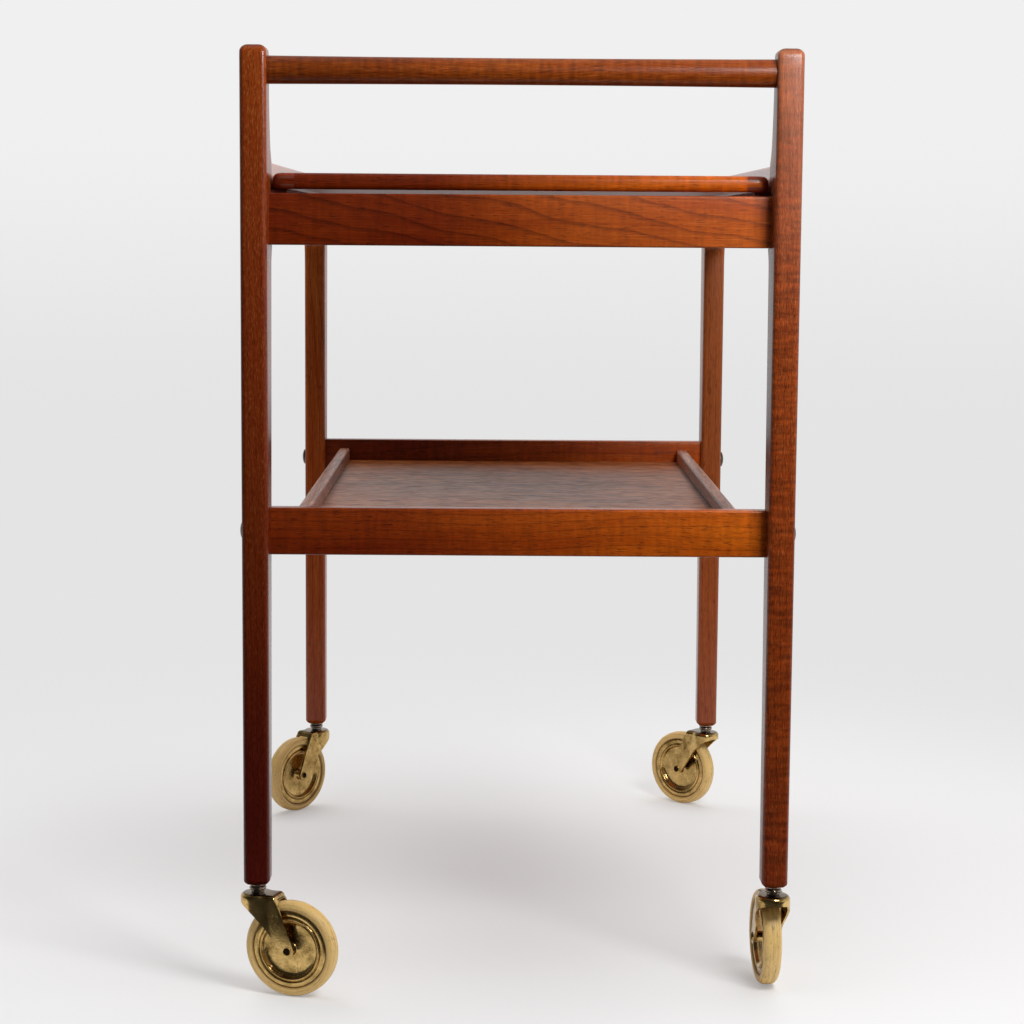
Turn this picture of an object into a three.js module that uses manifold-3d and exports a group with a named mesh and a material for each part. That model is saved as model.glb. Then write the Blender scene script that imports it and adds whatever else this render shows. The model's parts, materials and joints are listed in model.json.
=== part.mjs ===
// A two-tier teak bar cart on four swivelling brass castors, with a lift-off tray on top.
//
// Millimetres, +Z up. The handle end faces -Y and the far end +Y; X runs across the cart.
// The finished group stands on Z = 0, with its origin under the middle of its bounding box.

import * as THREE from "three";
import { mergeVertices } from "three/addons/utils/BufferGeometryUtils.js";
import Module from "manifold-3d";

const wasm = await Module();
wasm.setup();

// ---------------------------------------------------------------- driving dimensions

// The cart as a whole. Heights on the frame are measured up from the foot of the legs.
const CART_WIDTH = 416.5; // over the outside faces of the legs
const LEG_PITCH = 606.8; // handle-side face of a near leg to the same face of a far leg

// Legs: flat boards standing on edge, deep at the side rail and tapering to the foot.
const LEG_THICKNESS = 20;
const LEG_DEPTH_AT_RAIL = 42;
const LEG_DEPTH_AT_HANDLE = 27;
const LEG_DEPTH_AT_FOOT = 23;
const LEG_TOP_RADIUS = 7;
const LEG_EDGE_ROUND = 2;
const FOOT_CHAMFER = 3.5;
const LEG_TOP_RISE = 18; // top of a near leg above the handle's centreline
const SHOULDER_RISE = 0.7; // end of the curve behind the handle, above its centreline
const FLARE_DEPTH = 4.5; // swelling of the leg under the side rail
const FLARE_HEIGHT = 22;
const JOINT_LAND = 5; // square-edged part of the leg beside the side rail

// Top side rails and the cross aprons between the legs.
const RAIL_HEIGHT_ABOVE_FOOT = 486.8;
const RAIL_DEPTH = 61.6;
const APRON_DEPTH = 38.6;
const APRON_THICKNESS = 16;
const APRON_TO_RAIL = 6; // back of the near apron to the end of the side rails
const FAR_CROSS_SETBACK = 7.5; // behind the far legs' handle-side face
const TENON_LENGTH = 12;
const RAIL_TENON_LENGTH = 7;
const TENON_THICKNESS = 8;
const TENON_SHOULDER = 6; // top and bottom

// Handle: a round bar, slightly waisted, with turned tenons.
const HANDLE_RISE = 67.3; // centreline above the side rails
const HANDLE_OFFSET = 0.9; // centreline behind the middle of the leg there
const HANDLE_END_RADIUS = 10.4;
const HANDLE_WAIST_RADIUS = 9.8;
const HANDLE_TENON_RADIUS = 7;

// Battens that carry the tray along the side rails.
const BATTEN_WIDTH = 12;
const BATTEN_DEPTH = 12;
const BATTEN_RISE = 2.8; // top of the batten above the aprons
const BATTEN_SCREW_INSET = 82.35; // from each end of the side rail
const BATTEN_SCREW_RADIUS = 1.6;
const BATTEN_SCREW_HEAD_RADIUS = 3.6;
const BATTEN_SCREW_HEAD_HEIGHT = 1.8;
const BATTEN_SCREW_LENGTH = 22;

// Lift-off tray.
const TRAY_SIDE_CLEARANCE = 1.5; // to each side rail
const TRAY_NEAR_SETBACK = 7; // behind the near apron's face
const TRAY_FAR_REACH = 9.5; // past the far apron's near face
const TRAY_RIM_WIDTH = 16.7;
const TRAY_RIM_HEIGHT = 12.4;
const TRAY_RIM_ROUND = 4;
const TRAY_CORNER_RADIUS = 9;
const TRAY_FINGER_LENGTH = 11.2; // tongue of the end rims into the side rims
const TRAY_PANEL_THICKNESS = 4;
const TRAY_PANEL_RISE = 1.3; // panel's underside above the rim's underside
const TRAY_PANEL_GROOVE = 3;
const PANEL_REBATE = 1; // panels' top face above their tongues, which lie in the grooves

// Lower shelf.
const SHELF_RAIL_HEIGHT_ABOVE_FOOT = 252.9;
const SHELF_RAIL_DEPTH = 35.9;
const SHELF_RAIL_THICKNESS = 14;
const NEAR_SHELF_RAIL_SETBACK = 18.5;
const SHELF_PANEL_DROP = 20.4; // panel's top below the top of the rails
const SHELF_PANEL_THICKNESS = 6;
const SHELF_PANEL_GROOVE = 3;
const SHELF_SIDE_THICKNESS = 10.5;
const SHELF_SIDE_INSET = 13.8; // from the legs' inner faces
const SHELF_LIP_HEIGHT = 12; // above the panel
const SHELF_SIDE_BOTTOM_RISE = 2;
const CROSS_EDGE_ROUND = 2;

// Slotted screws through the legs into the ends of the shelf rails.
const SHELF_SCREW_RADIUS = 2.5;
const SHELF_SCREW_HEAD_RADIUS = 7.3;
const SHELF_SCREW_HEAD_HEIGHT = 3.3;
const SHELF_SCREW_LENGTH = 42;
const SLOT_WIDTH = 1.4;
const SLOT_DEPTH = 0.9;
const SCREW_POINT = 2; // length of the point, in shank radii

// Castors.
const WHEEL_RADIUS = 37;
const TYRE_HALF_WIDTH = 7;
const HUB_RADIUS = 30;
const HUB_BEAD_RADIUS = 24.6;
const HUB_DISC_RADIUS = 22.2;
const HUB_RIM_HALF_WIDTH = 5.6;
const HUB_DISC_HALF_WIDTH = 2.4;
const HUB_BOSS_RADIUS = 4.6;
const HUB_BOSS_HALF_WIDTH = 7.6;
const HUB_BOSS_SPREAD = 1; // foot of the boss, past its radius
const HUB_GROOVE_OFFSET = 1.4; // middle of the groove outside the bead
const HUB_GROOVE_DEPTH = 1;
const CASTOR_TRAIL = 28.5; // stem axis to wheel axle
const AXLE_RADIUS = 3.2;
const AXLE_DISH = 1.4; // hollow in each riveted end
const AXLE_PROUD = 0.6; // each riveted end past its arm
const FORK_HEAD_RADIUS = 13.2; // round head about the stem
const FORK_ARM_HALF_WIDTH = 10.4; // over the outside of the arms, which stand straight
const FORK_SHEET = 2;
const FORK_PLATE_THICKNESS = 2.4;
const FORK_TAIL = 18.4; // stem axis to the back edge of the plate
const FORK_BEND = 2.5; // softened edge all round the plate
const FORK_SKIRT = 6.4; // nose of the stamped shell, below its top
const FORK_THROAT_DROP = 9.5; // the front edge bends down into the arm this far below the top
const FORK_THROAT_X = 1.65; // and this far behind the stem's axis
const FORK_BACK_SKIRT = 9;
const FORK_ARM_END_RADIUS = 5.6;
const CROWN_CLEARANCE = 2.1; // tyre to the underside of the plate
const ARCH_CLEARANCE = 1.6; // tyre to the arch cut in the fork's back
const STEM_RADIUS = 3.8;
const STEM_SPACER_RADIUS = 5; // plain part between the fork's head and the collar
const STEM_SPACER_HEIGHT = 1.9;
const STEM_COLLAR_RADIUS = 6.6;
const STEM_COLLAR_HEIGHT = 2.8;
const COLLAR_CREST = 0.8; // how far the rounded collars stand out past their faces
const STEM_NECK_HEIGHT = 0.4;
const STEM_RIVET_RADIUS = 5.6;
const STEM_RIVET_HEIGHT = 2.4;
const STEM_INSERTION = 34;
const SOCKET_RADIUS = 5.4;
const SOCKET_FLANGE_RADIUS = 6.7;
const SOCKET_FLANGE_HEIGHT = 2.2;
const SOCKET_DEPTH = 38;

// Direction in which each castor trails at rest, in degrees about +Z from +X.
const CASTOR_HEADINGS = { near_left: -18.5, near_right: 93.9, far_left: 230, far_right: 138.4 };

// Clearances.
const GLUE_LINE = 0.05; // between glued faces
const SEAT_GAP = 0.05; // between the tray and its battens
const FIT_GAP = 0.3; // round a tenon, screw, stem or axle
const RUNNING_GAP = 0.3; // between faces that turn on each other
const OVERCUT = 1; // how far a cut runs past the face that it opens

// Fineness of round shapes.
const ARC_STEPS = 4;
const ROUND_STEPS = 1;
const SCREW_SIDES = 12;
const ROD_SIDES = 16;
const BAR_SIDES = 24;
const WHEEL_SIDES = 32;

// ---------------------------------------------------------------- places worked out from them

const LEG_CENTRE_X = (CART_WIDTH - LEG_THICKNESS) / 2;
const CLEAR_WIDTH = CART_WIDTH - 2 * LEG_THICKNESS; // between the legs' inner faces
const NEAR_FACE_Y = -LEG_PITCH / 2;
const FAR_FACE_Y = LEG_PITCH / 2;

const FORK_PLATE_UNDERSIDE = 2 * WHEEL_RADIUS + CROWN_CLEARANCE;
const FORK_TOP = FORK_PLATE_UNDERSIDE + FORK_PLATE_THICKNESS;
const STEM_SPACER_BOTTOM = FORK_TOP + RUNNING_GAP;
const STEM_COLLAR_BOTTOM = STEM_SPACER_BOTTOM + STEM_SPACER_HEIGHT;
const SOCKET_BOTTOM = STEM_COLLAR_BOTTOM + STEM_COLLAR_HEIGHT + STEM_NECK_HEIGHT;
const FOOT_HEIGHT = SOCKET_BOTTOM + SOCKET_FLANGE_HEIGHT + GLUE_LINE;

const RAIL_BOTTOM = RAIL_HEIGHT_ABOVE_FOOT;
const RAIL_TOP = RAIL_BOTTOM + RAIL_DEPTH;
const HANDLE_HEIGHT = RAIL_TOP + HANDLE_RISE;
const HANDLE_SETBACK = LEG_DEPTH_AT_HANDLE / 2 + HANDLE_OFFSET;
const NEAR_LEG_TOP = HANDLE_HEIGHT + LEG_TOP_RISE;
const NEAR_APRON_SETBACK = LEG_DEPTH_AT_RAIL - APRON_TO_RAIL - APRON_THICKNESS;
const APRON_TOP = RAIL_BOTTOM + APRON_DEPTH;
const BATTEN_TOP = APRON_TOP + BATTEN_RISE;
const TRAY_BOTTOM = BATTEN_TOP + SEAT_GAP;
const SHELF_RAIL_BOTTOM = SHELF_RAIL_HEIGHT_ABOVE_FOOT;
const SHELF_RAIL_TOP = SHELF_RAIL_BOTTOM + SHELF_RAIL_DEPTH;
const SHELF_RAIL_MIDDLE = SHELF_RAIL_BOTTOM + SHELF_RAIL_DEPTH / 2;
const SHELF_PANEL_TOP = SHELF_RAIL_TOP - SHELF_PANEL_DROP;

const RAIL_START_Y = NEAR_FACE_Y + LEG_DEPTH_AT_RAIL + GLUE_LINE;
const RAIL_END_Y = FAR_FACE_Y - GLUE_LINE;

// ---------------------------------------------------------------- shape helpers

const X = new THREE.Vector3(1, 0, 0);
const Y = new THREE.Vector3(0, 1, 0);
const Z = new THREE.Vector3(0, 0, 1);

// An outline's two coordinates are (y, z) along x, (z, x) along y and (x, y) along z.
const ALONG = {
  x: new THREE.Matrix4().makeBasis(Y, Z, X),
  y: new THREE.Matrix4().makeBasis(Z, X, Y),
  z: new THREE.Matrix4(),
};

// Extrudes an outline from 0 to length; round softens its edges inside the nominal size.
function prism(outline, length, axis, round = 0, roundSteps = ROUND_STEPS) {
  const geometry = new THREE.ExtrudeGeometry(outline, {
    depth: length - 2 * round,
    curveSegments: ARC_STEPS,
    bevelEnabled: round > 0,
    bevelThickness: round,
    bevelSize: round,
    bevelOffset: -round,
    bevelSegments: roundSteps,
  });
  geometry.translate(0, 0, round);
  geometry.applyMatrix4(ALONG[axis]);
  return geometry;
}

function outlineOf(points) {
  return new THREE.Shape(points.map(([u, v]) => new THREE.Vector2(u, v)));
}

function roundedRectangle(u0, u1, v0, v1, radius) {
  const shape = new THREE.Shape();
  shape.moveTo(u0 + radius, v0);
  shape.absarc(u1 - radius, v0 + radius, radius, -Math.PI / 2, 0);
  shape.absarc(u1 - radius, v1 - radius, radius, 0, Math.PI / 2);
  shape.absarc(u0 + radius, v1 - radius, radius, Math.PI / 2, Math.PI);
  shape.absarc(u0 + radius, v0 + radius, radius, Math.PI, 1.5 * Math.PI);
  return shape;
}

// A box between two corners, given in any order.
function box(x0, x1, y0, y1, z0, z1) {
  const geometry = new THREE.BoxGeometry(Math.abs(x1 - x0), Math.abs(y1 - y0), Math.abs(z1 - z0));
  geometry.translate((x0 + x1) / 2, (y0 + y1) / 2, (z0 + z1) / 2);
  return geometry;
}

// Turns a profile of [radius, height] points, listed from low to high, about an axis.
function turned(profile, sides, axis = "z", phase = 0) {
  const points = profile.map(([radius, height]) => new THREE.Vector2(radius, height));
  const geometry = new THREE.LatheGeometry(points, sides, phase, 2 * Math.PI);
  if (axis === "z") geometry.rotateX(Math.PI / 2);
  if (axis === "x") geometry.rotateZ(-Math.PI / 2);
  return geometry;
}

// A plain rod with its centreline along an axis, from one height on that axis to another.
function rod(radius, from, to, axis = "z", sides = ROD_SIDES) {
  return turned([[0, from], [radius, from], [radius, to], [0, to]], sides, axis);
}

function toSolid(geometry) {
  const bare = geometry.clone();
  bare.deleteAttribute("normal");
  bare.deleteAttribute("uv");
  const merged = mergeVertices(bare, 1e-4);
  return new wasm.Manifold(new wasm.Mesh({
    numProp: 3,
    vertProperties: new Float32Array(merged.attributes.position.array),
    triVerts: new Uint32Array(merged.index.array),
  }));
}

function toGeometry(solid) {
  const mesh = solid.getMesh();
  const geometry = new THREE.BufferGeometry();
  geometry.setAttribute("position", new THREE.BufferAttribute(mesh.vertProperties, 3));
  geometry.setIndex(new THREE.BufferAttribute(mesh.triVerts, 1));
  geometry.computeVertexNormals();
  return geometry;
}

// Joins the added geometries to a body, then cuts the removed ones from it.
function shaped(body, added, removed) {
  let solid = toSolid(body);
  for (const geometry of added) solid = solid.add(toSolid(geometry));
  for (const geometry of removed) solid = solid.subtract(toSolid(geometry));
  return toGeometry(solid);
}

function piece(name, geometry, finish, x = 0, y = 0, z = 0) {
  const mesh = new THREE.Mesh(geometry, new THREE.MeshStandardMaterial(finish));
  mesh.name = name;
  mesh.position.set(x, y, z);
  return mesh;
}

const TEAK = { color: 0x8a3f1c, roughness: 0.38, metalness: 0 };
const TEAK_LIGHT = { color: 0xa8562a, roughness: 0.4, metalness: 0 };
const TEAK_DARK = { color: 0x5f2a18, roughness: 0.35, metalness: 0 };
const VENEER = { color: 0x54342a, roughness: 0.35, metalness: 0 };
const BRASS = { color: 0xb08d45, roughness: 0.35, metalness: 1 };
const STEEL = { color: 0x55504b, roughness: 0.4, metalness: 1 };
const TYRE_RUBBER = { color: 0xd8b878, roughness: 0.6, metalness: 0 };

// ---------------------------------------------------------------- joints cut into the legs

// A leg's own frame: x = 0 in the middle of its thickness, y = 0 on its handle-side face,
// z = 0 at its foot. inward is +1 where the cart's middle lies towards +X.

function apronMortise(inward, setback) {
  const inner = inward * LEG_THICKNESS / 2;
  const middle = setback + APRON_THICKNESS / 2;
  const half = TENON_THICKNESS / 2 + FIT_GAP;
  return box(
    inner + inward * OVERCUT, inner - inward * (TENON_LENGTH + FIT_GAP),
    middle - half, middle + half,
    RAIL_BOTTOM + TENON_SHOULDER - FIT_GAP, APRON_TOP - TENON_SHOULDER + FIT_GAP,
  );
}

function railMortise(faceY, into) {
  const half = TENON_THICKNESS / 2 + FIT_GAP;
  return box(
    -half, half,
    faceY - into * OVERCUT, faceY + into * (RAIL_TENON_LENGTH + FIT_GAP),
    RAIL_BOTTOM + TENON_SHOULDER - FIT_GAP, RAIL_TOP - TENON_SHOULDER + FIT_GAP,
  );
}

function shelfScrewHole(setback) {
  const hole = rod(SHELF_SCREW_RADIUS + FIT_GAP, -LEG_THICKNESS, LEG_THICKNESS, "x", SCREW_SIDES);
  hole.translate(0, setback + SHELF_RAIL_THICKNESS / 2, SHELF_RAIL_MIDDLE);
  return hole;
}

function castorBore() {
  const bore = rod(SOCKET_RADIUS + FIT_GAP, -OVERCUT, SOCKET_DEPTH + FIT_GAP);
  bore.translate(0, LEG_DEPTH_AT_FOOT / 2, 0);
  return bore;
}

function handleSocket(inward) {
  const inner = inward * LEG_THICKNESS / 2;
  const ends = [inner - inward * (TENON_LENGTH + FIT_GAP), inner + inward * OVERCUT];
  const hole = rod(HANDLE_TENON_RADIUS + FIT_GAP, Math.min(...ends), Math.max(...ends), "x");
  hole.translate(0, HANDLE_SETBACK, HANDLE_HEIGHT);
  return hole;
}

// ---------------------------------------------------------------- legs

// Depth of the tapered part at a height above the foot.
function legDepthAt(height) {
  return THREE.MathUtils.mapLinear(height, 0, RAIL_BOTTOM, LEG_DEPTH_AT_FOOT, LEG_DEPTH_AT_RAIL);
}

// The near legs are straight on the handle side. Behind, they swell up to the side rail
// and narrow again above it, where they carry the handle.
function nearLegOutline() {
  const flareStart = RAIL_BOTTOM - FLARE_HEIGHT;
  const shoulderTop = HANDLE_HEIGHT + SHOULDER_RISE;
  const shoulder = shoulderTop - RAIL_TOP;
  const top = NEAR_LEG_TOP;
  const r = LEG_TOP_RADIUS;
  const shape = new THREE.Shape();
  shape.moveTo(FOOT_CHAMFER, 0);
  shape.lineTo(LEG_DEPTH_AT_FOOT - FOOT_CHAMFER, 0);
  shape.lineTo(legDepthAt(FOOT_CHAMFER), FOOT_CHAMFER);
  shape.lineTo(legDepthAt(flareStart), flareStart);
  shape.quadraticCurveTo(
    legDepthAt(RAIL_BOTTOM - FLARE_HEIGHT / 3), RAIL_BOTTOM - FLARE_HEIGHT / 3,
    LEG_DEPTH_AT_RAIL + FLARE_DEPTH, RAIL_BOTTOM - GLUE_LINE,
  );
  shape.lineTo(LEG_DEPTH_AT_RAIL, RAIL_BOTTOM - GLUE_LINE);
  shape.lineTo(LEG_DEPTH_AT_RAIL, RAIL_TOP);
  shape.bezierCurveTo(
    THREE.MathUtils.lerp(LEG_DEPTH_AT_RAIL, LEG_DEPTH_AT_HANDLE, 0.6), RAIL_TOP + shoulder * 0.2,
    THREE.MathUtils.lerp(LEG_DEPTH_AT_RAIL, LEG_DEPTH_AT_HANDLE, 0.9), RAIL_TOP + shoulder * 0.5,
    LEG_DEPTH_AT_HANDLE, shoulderTop,
  );
  shape.lineTo(LEG_DEPTH_AT_HANDLE, top - r);
  shape.absarc(LEG_DEPTH_AT_HANDLE - r, top - r, r, 0, Math.PI / 2);
  shape.absarc(r, top - r, r, Math.PI / 2, Math.PI);
  shape.lineTo(0, FOOT_CHAMFER);
  return shape;
}

// The far legs are straight on the handle side too, taper on their outer side, and stop
// level with the top of the side rails.
function farLegOutline() {
  const flareStart = RAIL_BOTTOM - FLARE_HEIGHT;
  const r = LEG_TOP_RADIUS;
  const shape = new THREE.Shape();
  shape.moveTo(FOOT_CHAMFER, 0);
  shape.lineTo(LEG_DEPTH_AT_FOOT - FOOT_CHAMFER, 0);
  shape.lineTo(legDepthAt(FOOT_CHAMFER), FOOT_CHAMFER);
  shape.lineTo(LEG_DEPTH_AT_RAIL, RAIL_BOTTOM);
  shape.lineTo(LEG_DEPTH_AT_RAIL, RAIL_TOP - r);
  shape.absarc(LEG_DEPTH_AT_RAIL - r, RAIL_TOP - r, r, 0, Math.PI / 2);
  shape.lineTo(0, RAIL_TOP);
  shape.lineTo(0, RAIL_BOTTOM - GLUE_LINE);
  shape.lineTo(-FLARE_DEPTH, RAIL_BOTTOM - GLUE_LINE);
  shape.quadraticCurveTo(0, RAIL_BOTTOM - FLARE_HEIGHT / 3, 0, flareStart);
  shape.lineTo(0, FOOT_CHAMFER);
  return shape;
}

function railSection() {
  const half = LEG_THICKNESS / 2;
  return roundedRectangle(0, RAIL_DEPTH, -half, half, LEG_EDGE_ROUND);
}

function leg(name, side, near) {
  const inward = -side;
  const board = prism(near ? nearLegOutline() : farLegOutline(), LEG_THICKNESS, "x", LEG_EDGE_ROUND);
  board.translate(-LEG_THICKNESS / 2, 0, 0);
  // The rounded edges give way to the rail's own section where the two meet.
  const land = prism(railSection(), JOINT_LAND, "y");
  land.translate(0, near ? LEG_DEPTH_AT_RAIL - JOINT_LAND : 0, RAIL_BOTTOM);
  const cuts = [
    castorBore(),
    apronMortise(inward, near ? NEAR_APRON_SETBACK : FAR_CROSS_SETBACK),
    railMortise(near ? LEG_DEPTH_AT_RAIL : 0, near ? -1 : 1),
    shelfScrewHole(near ? NEAR_SHELF_RAIL_SETBACK : FAR_CROSS_SETBACK),
  ];
  if (near) cuts.push(handleSocket(inward));
  const geometry = shaped(board, [land], cuts);
  return piece(name, geometry, TEAK, side * LEG_CENTRE_X, near ? NEAR_FACE_Y : FAR_FACE_Y, 0);
}

// ---------------------------------------------------------------- top frame

function sideRail(name, side) {
  const length = RAIL_END_Y - RAIL_START_Y;
  const board = prism(railSection(), length, "y");
  const half = TENON_THICKNESS / 2;
  const tenon = box(
    -half, half, -RAIL_TENON_LENGTH, length + RAIL_TENON_LENGTH, TENON_SHOULDER, RAIL_DEPTH - TENON_SHOULDER,
  );
  const inner = -side * LEG_THICKNESS / 2;
  const pilots = battenScrewPlaces().map((y) => {
    const depth = BATTEN_SCREW_LENGTH - BATTEN_WIDTH + FIT_GAP;
    const ends = [inner - side * OVERCUT, inner + side * depth];
    const hole = rod(BATTEN_SCREW_RADIUS + FIT_GAP, Math.min(...ends), Math.max(...ends), "x", SCREW_SIDES);
    hole.translate(0, y - RAIL_START_Y, BATTEN_TOP - BATTEN_DEPTH / 2 - RAIL_BOTTOM);
    return hole;
  });
  return piece(name, shaped(board, [tenon], pilots), TEAK, side * LEG_CENTRE_X, RAIL_START_Y, RAIL_BOTTOM);
}

function apron(name, faceY) {
  const length = CLEAR_WIDTH - 2 * GLUE_LINE;
  const section = roundedRectangle(0, APRON_THICKNESS, 0, APRON_DEPTH, CROSS_EDGE_ROUND);
  const board = prism(section, length, "x");
  board.translate(-length / 2, 0, 0);
  const y0 = (APRON_THICKNESS - TENON_THICKNESS) / 2;
  const reach = CLEAR_WIDTH / 2 + TENON_LENGTH;
  const tenon = box(
    -reach, reach, y0, y0 + TENON_THICKNESS, TENON_SHOULDER, APRON_DEPTH - TENON_SHOULDER,
  );
  return piece(name, shaped(board, [tenon], []), TEAK_LIGHT, 0, faceY, RAIL_BOTTOM);
}

// Points of the bar's waisted side, from one end to the other.
function waist(half, steps) {
  const points = [];
  for (let i = 0; i <= steps; i += 1) {
    const t = (2 * i) / steps - 1;
    const radius = THREE.MathUtils.lerp(HANDLE_WAIST_RADIUS, HANDLE_END_RADIUS, t * t);
    points.push([radius, t * half]);
  }
  return points;
}

function handleBar() {
  const half = CLEAR_WIDTH / 2 - GLUE_LINE;
  const reach = half + TENON_LENGTH;
  const profile = [
    [0, -reach],
    [HANDLE_TENON_RADIUS, -reach],
    [HANDLE_TENON_RADIUS, -half],
    ...waist(half, 6),
    [HANDLE_TENON_RADIUS, half],
    [HANDLE_TENON_RADIUS, reach],
    [0, reach],
  ];
  const y = NEAR_FACE_Y + HANDLE_SETBACK;
  return piece("handle_bar", turned(profile, BAR_SIDES, "x"), TEAK_LIGHT, 0, y, HANDLE_HEIGHT);
}

function battenScrewPlaces() {
  return [RAIL_START_Y + BATTEN_SCREW_INSET, RAIL_END_Y - BATTEN_SCREW_INSET];
}

function batten(name, side) {
  const start = NEAR_FACE_Y + NEAR_APRON_SETBACK + APRON_THICKNESS + GLUE_LINE;
  const end = FAR_FACE_Y + FAR_CROSS_SETBACK - GLUE_LINE;
  const outer = side * (CLEAR_WIDTH / 2 - GLUE_LINE);
  const inner = outer - side * BATTEN_WIDTH;
  const strip = box(inner, outer, start, end, BATTEN_TOP - BATTEN_DEPTH, BATTEN_TOP);
  const holes = battenScrewPlaces().map((y) => {
    const ends = [inner - side * OVERCUT, outer + side * OVERCUT];
    const hole = rod(BATTEN_SCREW_RADIUS + FIT_GAP, Math.min(...ends), Math.max(...ends), "x", SCREW_SIDES);
    hole.translate(0, y, BATTEN_TOP - BATTEN_DEPTH / 2);
    return hole;
  });
  return piece(name, shaped(strip, [], holes), TEAK_DARK);
}

// A screw along x: the underside of its head at x = 0, its shank towards -x.
function screw(name, finish, { shank, length, headRadius, headHeight }) {
  const profile = [
    [0, -length],
    [shank, -length + SCREW_POINT * shank],
    [shank, 0],
    [headRadius, 0],
    [headRadius, headHeight * 0.35],
    [headRadius * 0.7, headHeight],
    [0, headHeight],
  ];
  const slotFloor = headHeight - SLOT_DEPTH;
  const reach = headRadius + OVERCUT;
  const slot = box(
    slotFloor, headHeight + OVERCUT, -reach, reach, -SLOT_WIDTH / 2, SLOT_WIDTH / 2,
  );
  const body = turned(profile, SCREW_SIDES, "x");
  return piece(name, shaped(body, [], [slot]), finish);
}

function battenScrews(label, side) {
  const face = CLEAR_WIDTH / 2 - GLUE_LINE - BATTEN_WIDTH;
  return battenScrewPlaces().map((y, i) => {
    const name = `batten_screw_${label}_${i === 0 ? "near" : "far"}`;
    const mesh = screw(name, BRASS, {
      shank: BATTEN_SCREW_RADIUS,
      length: BATTEN_SCREW_LENGTH,
      headRadius: BATTEN_SCREW_HEAD_RADIUS,
      headHeight: BATTEN_SCREW_HEAD_HEIGHT,
    });
    mesh.rotation.z = side > 0 ? Math.PI : 0;
    mesh.position.set(side * (face - GLUE_LINE), y, BATTEN_TOP - BATTEN_DEPTH / 2);
    return mesh;
  });
}

function topFrame() {
  const group = new THREE.Group();
  group.add(leg("leg_near_left", -1, true), leg("leg_near_right", 1, true));
  group.add(leg("leg_far_left", -1, false), leg("leg_far_right", 1, false));
  group.add(sideRail("side_rail_left", -1), sideRail("side_rail_right", 1));
  group.add(apron("apron_near", NEAR_FACE_Y + NEAR_APRON_SETBACK));
  group.add(apron("apron_far", FAR_FACE_Y + FAR_CROSS_SETBACK));
  group.add(handleBar());
  group.add(batten("batten_left", -1), batten("batten_right", 1));
  group.add(...battenScrews("left", -1), ...battenScrews("right", 1));
  return group;
}

// ---------------------------------------------------------------- tray

// A flat panel whose top is rebated all round, which leaves a tongue for the grooves.
function rebatedPanel(half, start, end, tongue, underside, top) {
  const face = box(-half, half, start, end, underside, top);
  const edge = box(
    -half - tongue, half + tongue, start - tongue, end + tongue, underside, top - PANEL_REBATE,
  );
  return shaped(face, [edge], []);
}

// The tray's own frame: the middle of its plan at x = y = 0, its underside at z = 0.
const TRAY_HALF_WIDTH = CLEAR_WIDTH / 2 - TRAY_SIDE_CLEARANCE;
const TRAY_NEAR_Y = NEAR_FACE_Y + NEAR_APRON_SETBACK + TRAY_NEAR_SETBACK;
const TRAY_FAR_Y = FAR_FACE_Y + FAR_CROSS_SETBACK + TRAY_FAR_REACH;
const TRAY_HALF_LENGTH = (TRAY_FAR_Y - TRAY_NEAR_Y) / 2;
const TRAY_INNER_HALF_WIDTH = TRAY_HALF_WIDTH - TRAY_RIM_WIDTH;
const TRAY_INNER_HALF_LENGTH = TRAY_HALF_LENGTH - TRAY_RIM_WIDTH;
const TRAY_PANEL_TOP = TRAY_PANEL_RISE + TRAY_PANEL_THICKNESS;

// The whole rounded rim, with the groove for the panel, before it is parted at the corners.
function trayRing() {
  const outline = roundedRectangle(
    -TRAY_HALF_WIDTH, TRAY_HALF_WIDTH, -TRAY_HALF_LENGTH, TRAY_HALF_LENGTH, TRAY_CORNER_RADIUS,
  );
  const w = TRAY_INNER_HALF_WIDTH;
  const l = TRAY_INNER_HALF_LENGTH;
  outline.holes.push(new THREE.Path([
    new THREE.Vector2(-w, -l), new THREE.Vector2(-w, l), new THREE.Vector2(w, l), new THREE.Vector2(w, -l),
  ]));
  const ring = toSolid(prism(outline, TRAY_RIM_HEIGHT, "z", TRAY_RIM_ROUND, 2));
  const groove = box(
    -w - TRAY_PANEL_GROOVE, w + TRAY_PANEL_GROOVE, -l - TRAY_PANEL_GROOVE, l + TRAY_PANEL_GROOVE,
    TRAY_PANEL_RISE, TRAY_PANEL_TOP - PANEL_REBATE,
  );
  return ring.subtract(toSolid(groove));
}

// The tongues of an end rim: the middle third of the height, reaching into both side rims.
function trayTongue(end, gap) {
  const third = TRAY_RIM_HEIGHT / 3;
  const reach = TRAY_INNER_HALF_WIDTH + TRAY_FINGER_LENGTH - gap;
  return toSolid(box(
    -reach, reach, end * (TRAY_INNER_HALF_LENGTH + gap), end * (TRAY_HALF_LENGTH + OVERCUT),
    third + gap, 2 * third - gap,
  ));
}

function trayEndRim(name, ring, end) {
  const middle = toSolid(box(
    -TRAY_INNER_HALF_WIDTH + GLUE_LINE, TRAY_INNER_HALF_WIDTH - GLUE_LINE,
    end * TRAY_INNER_HALF_LENGTH * 0.5, end * (TRAY_HALF_LENGTH + OVERCUT),
    -OVERCUT, TRAY_RIM_HEIGHT + OVERCUT,
  ));
  const keep = middle.add(trayTongue(end, GLUE_LINE));
  return piece(name, toGeometry(ring.intersect(keep)), TEAK_LIGHT);
}

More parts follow.
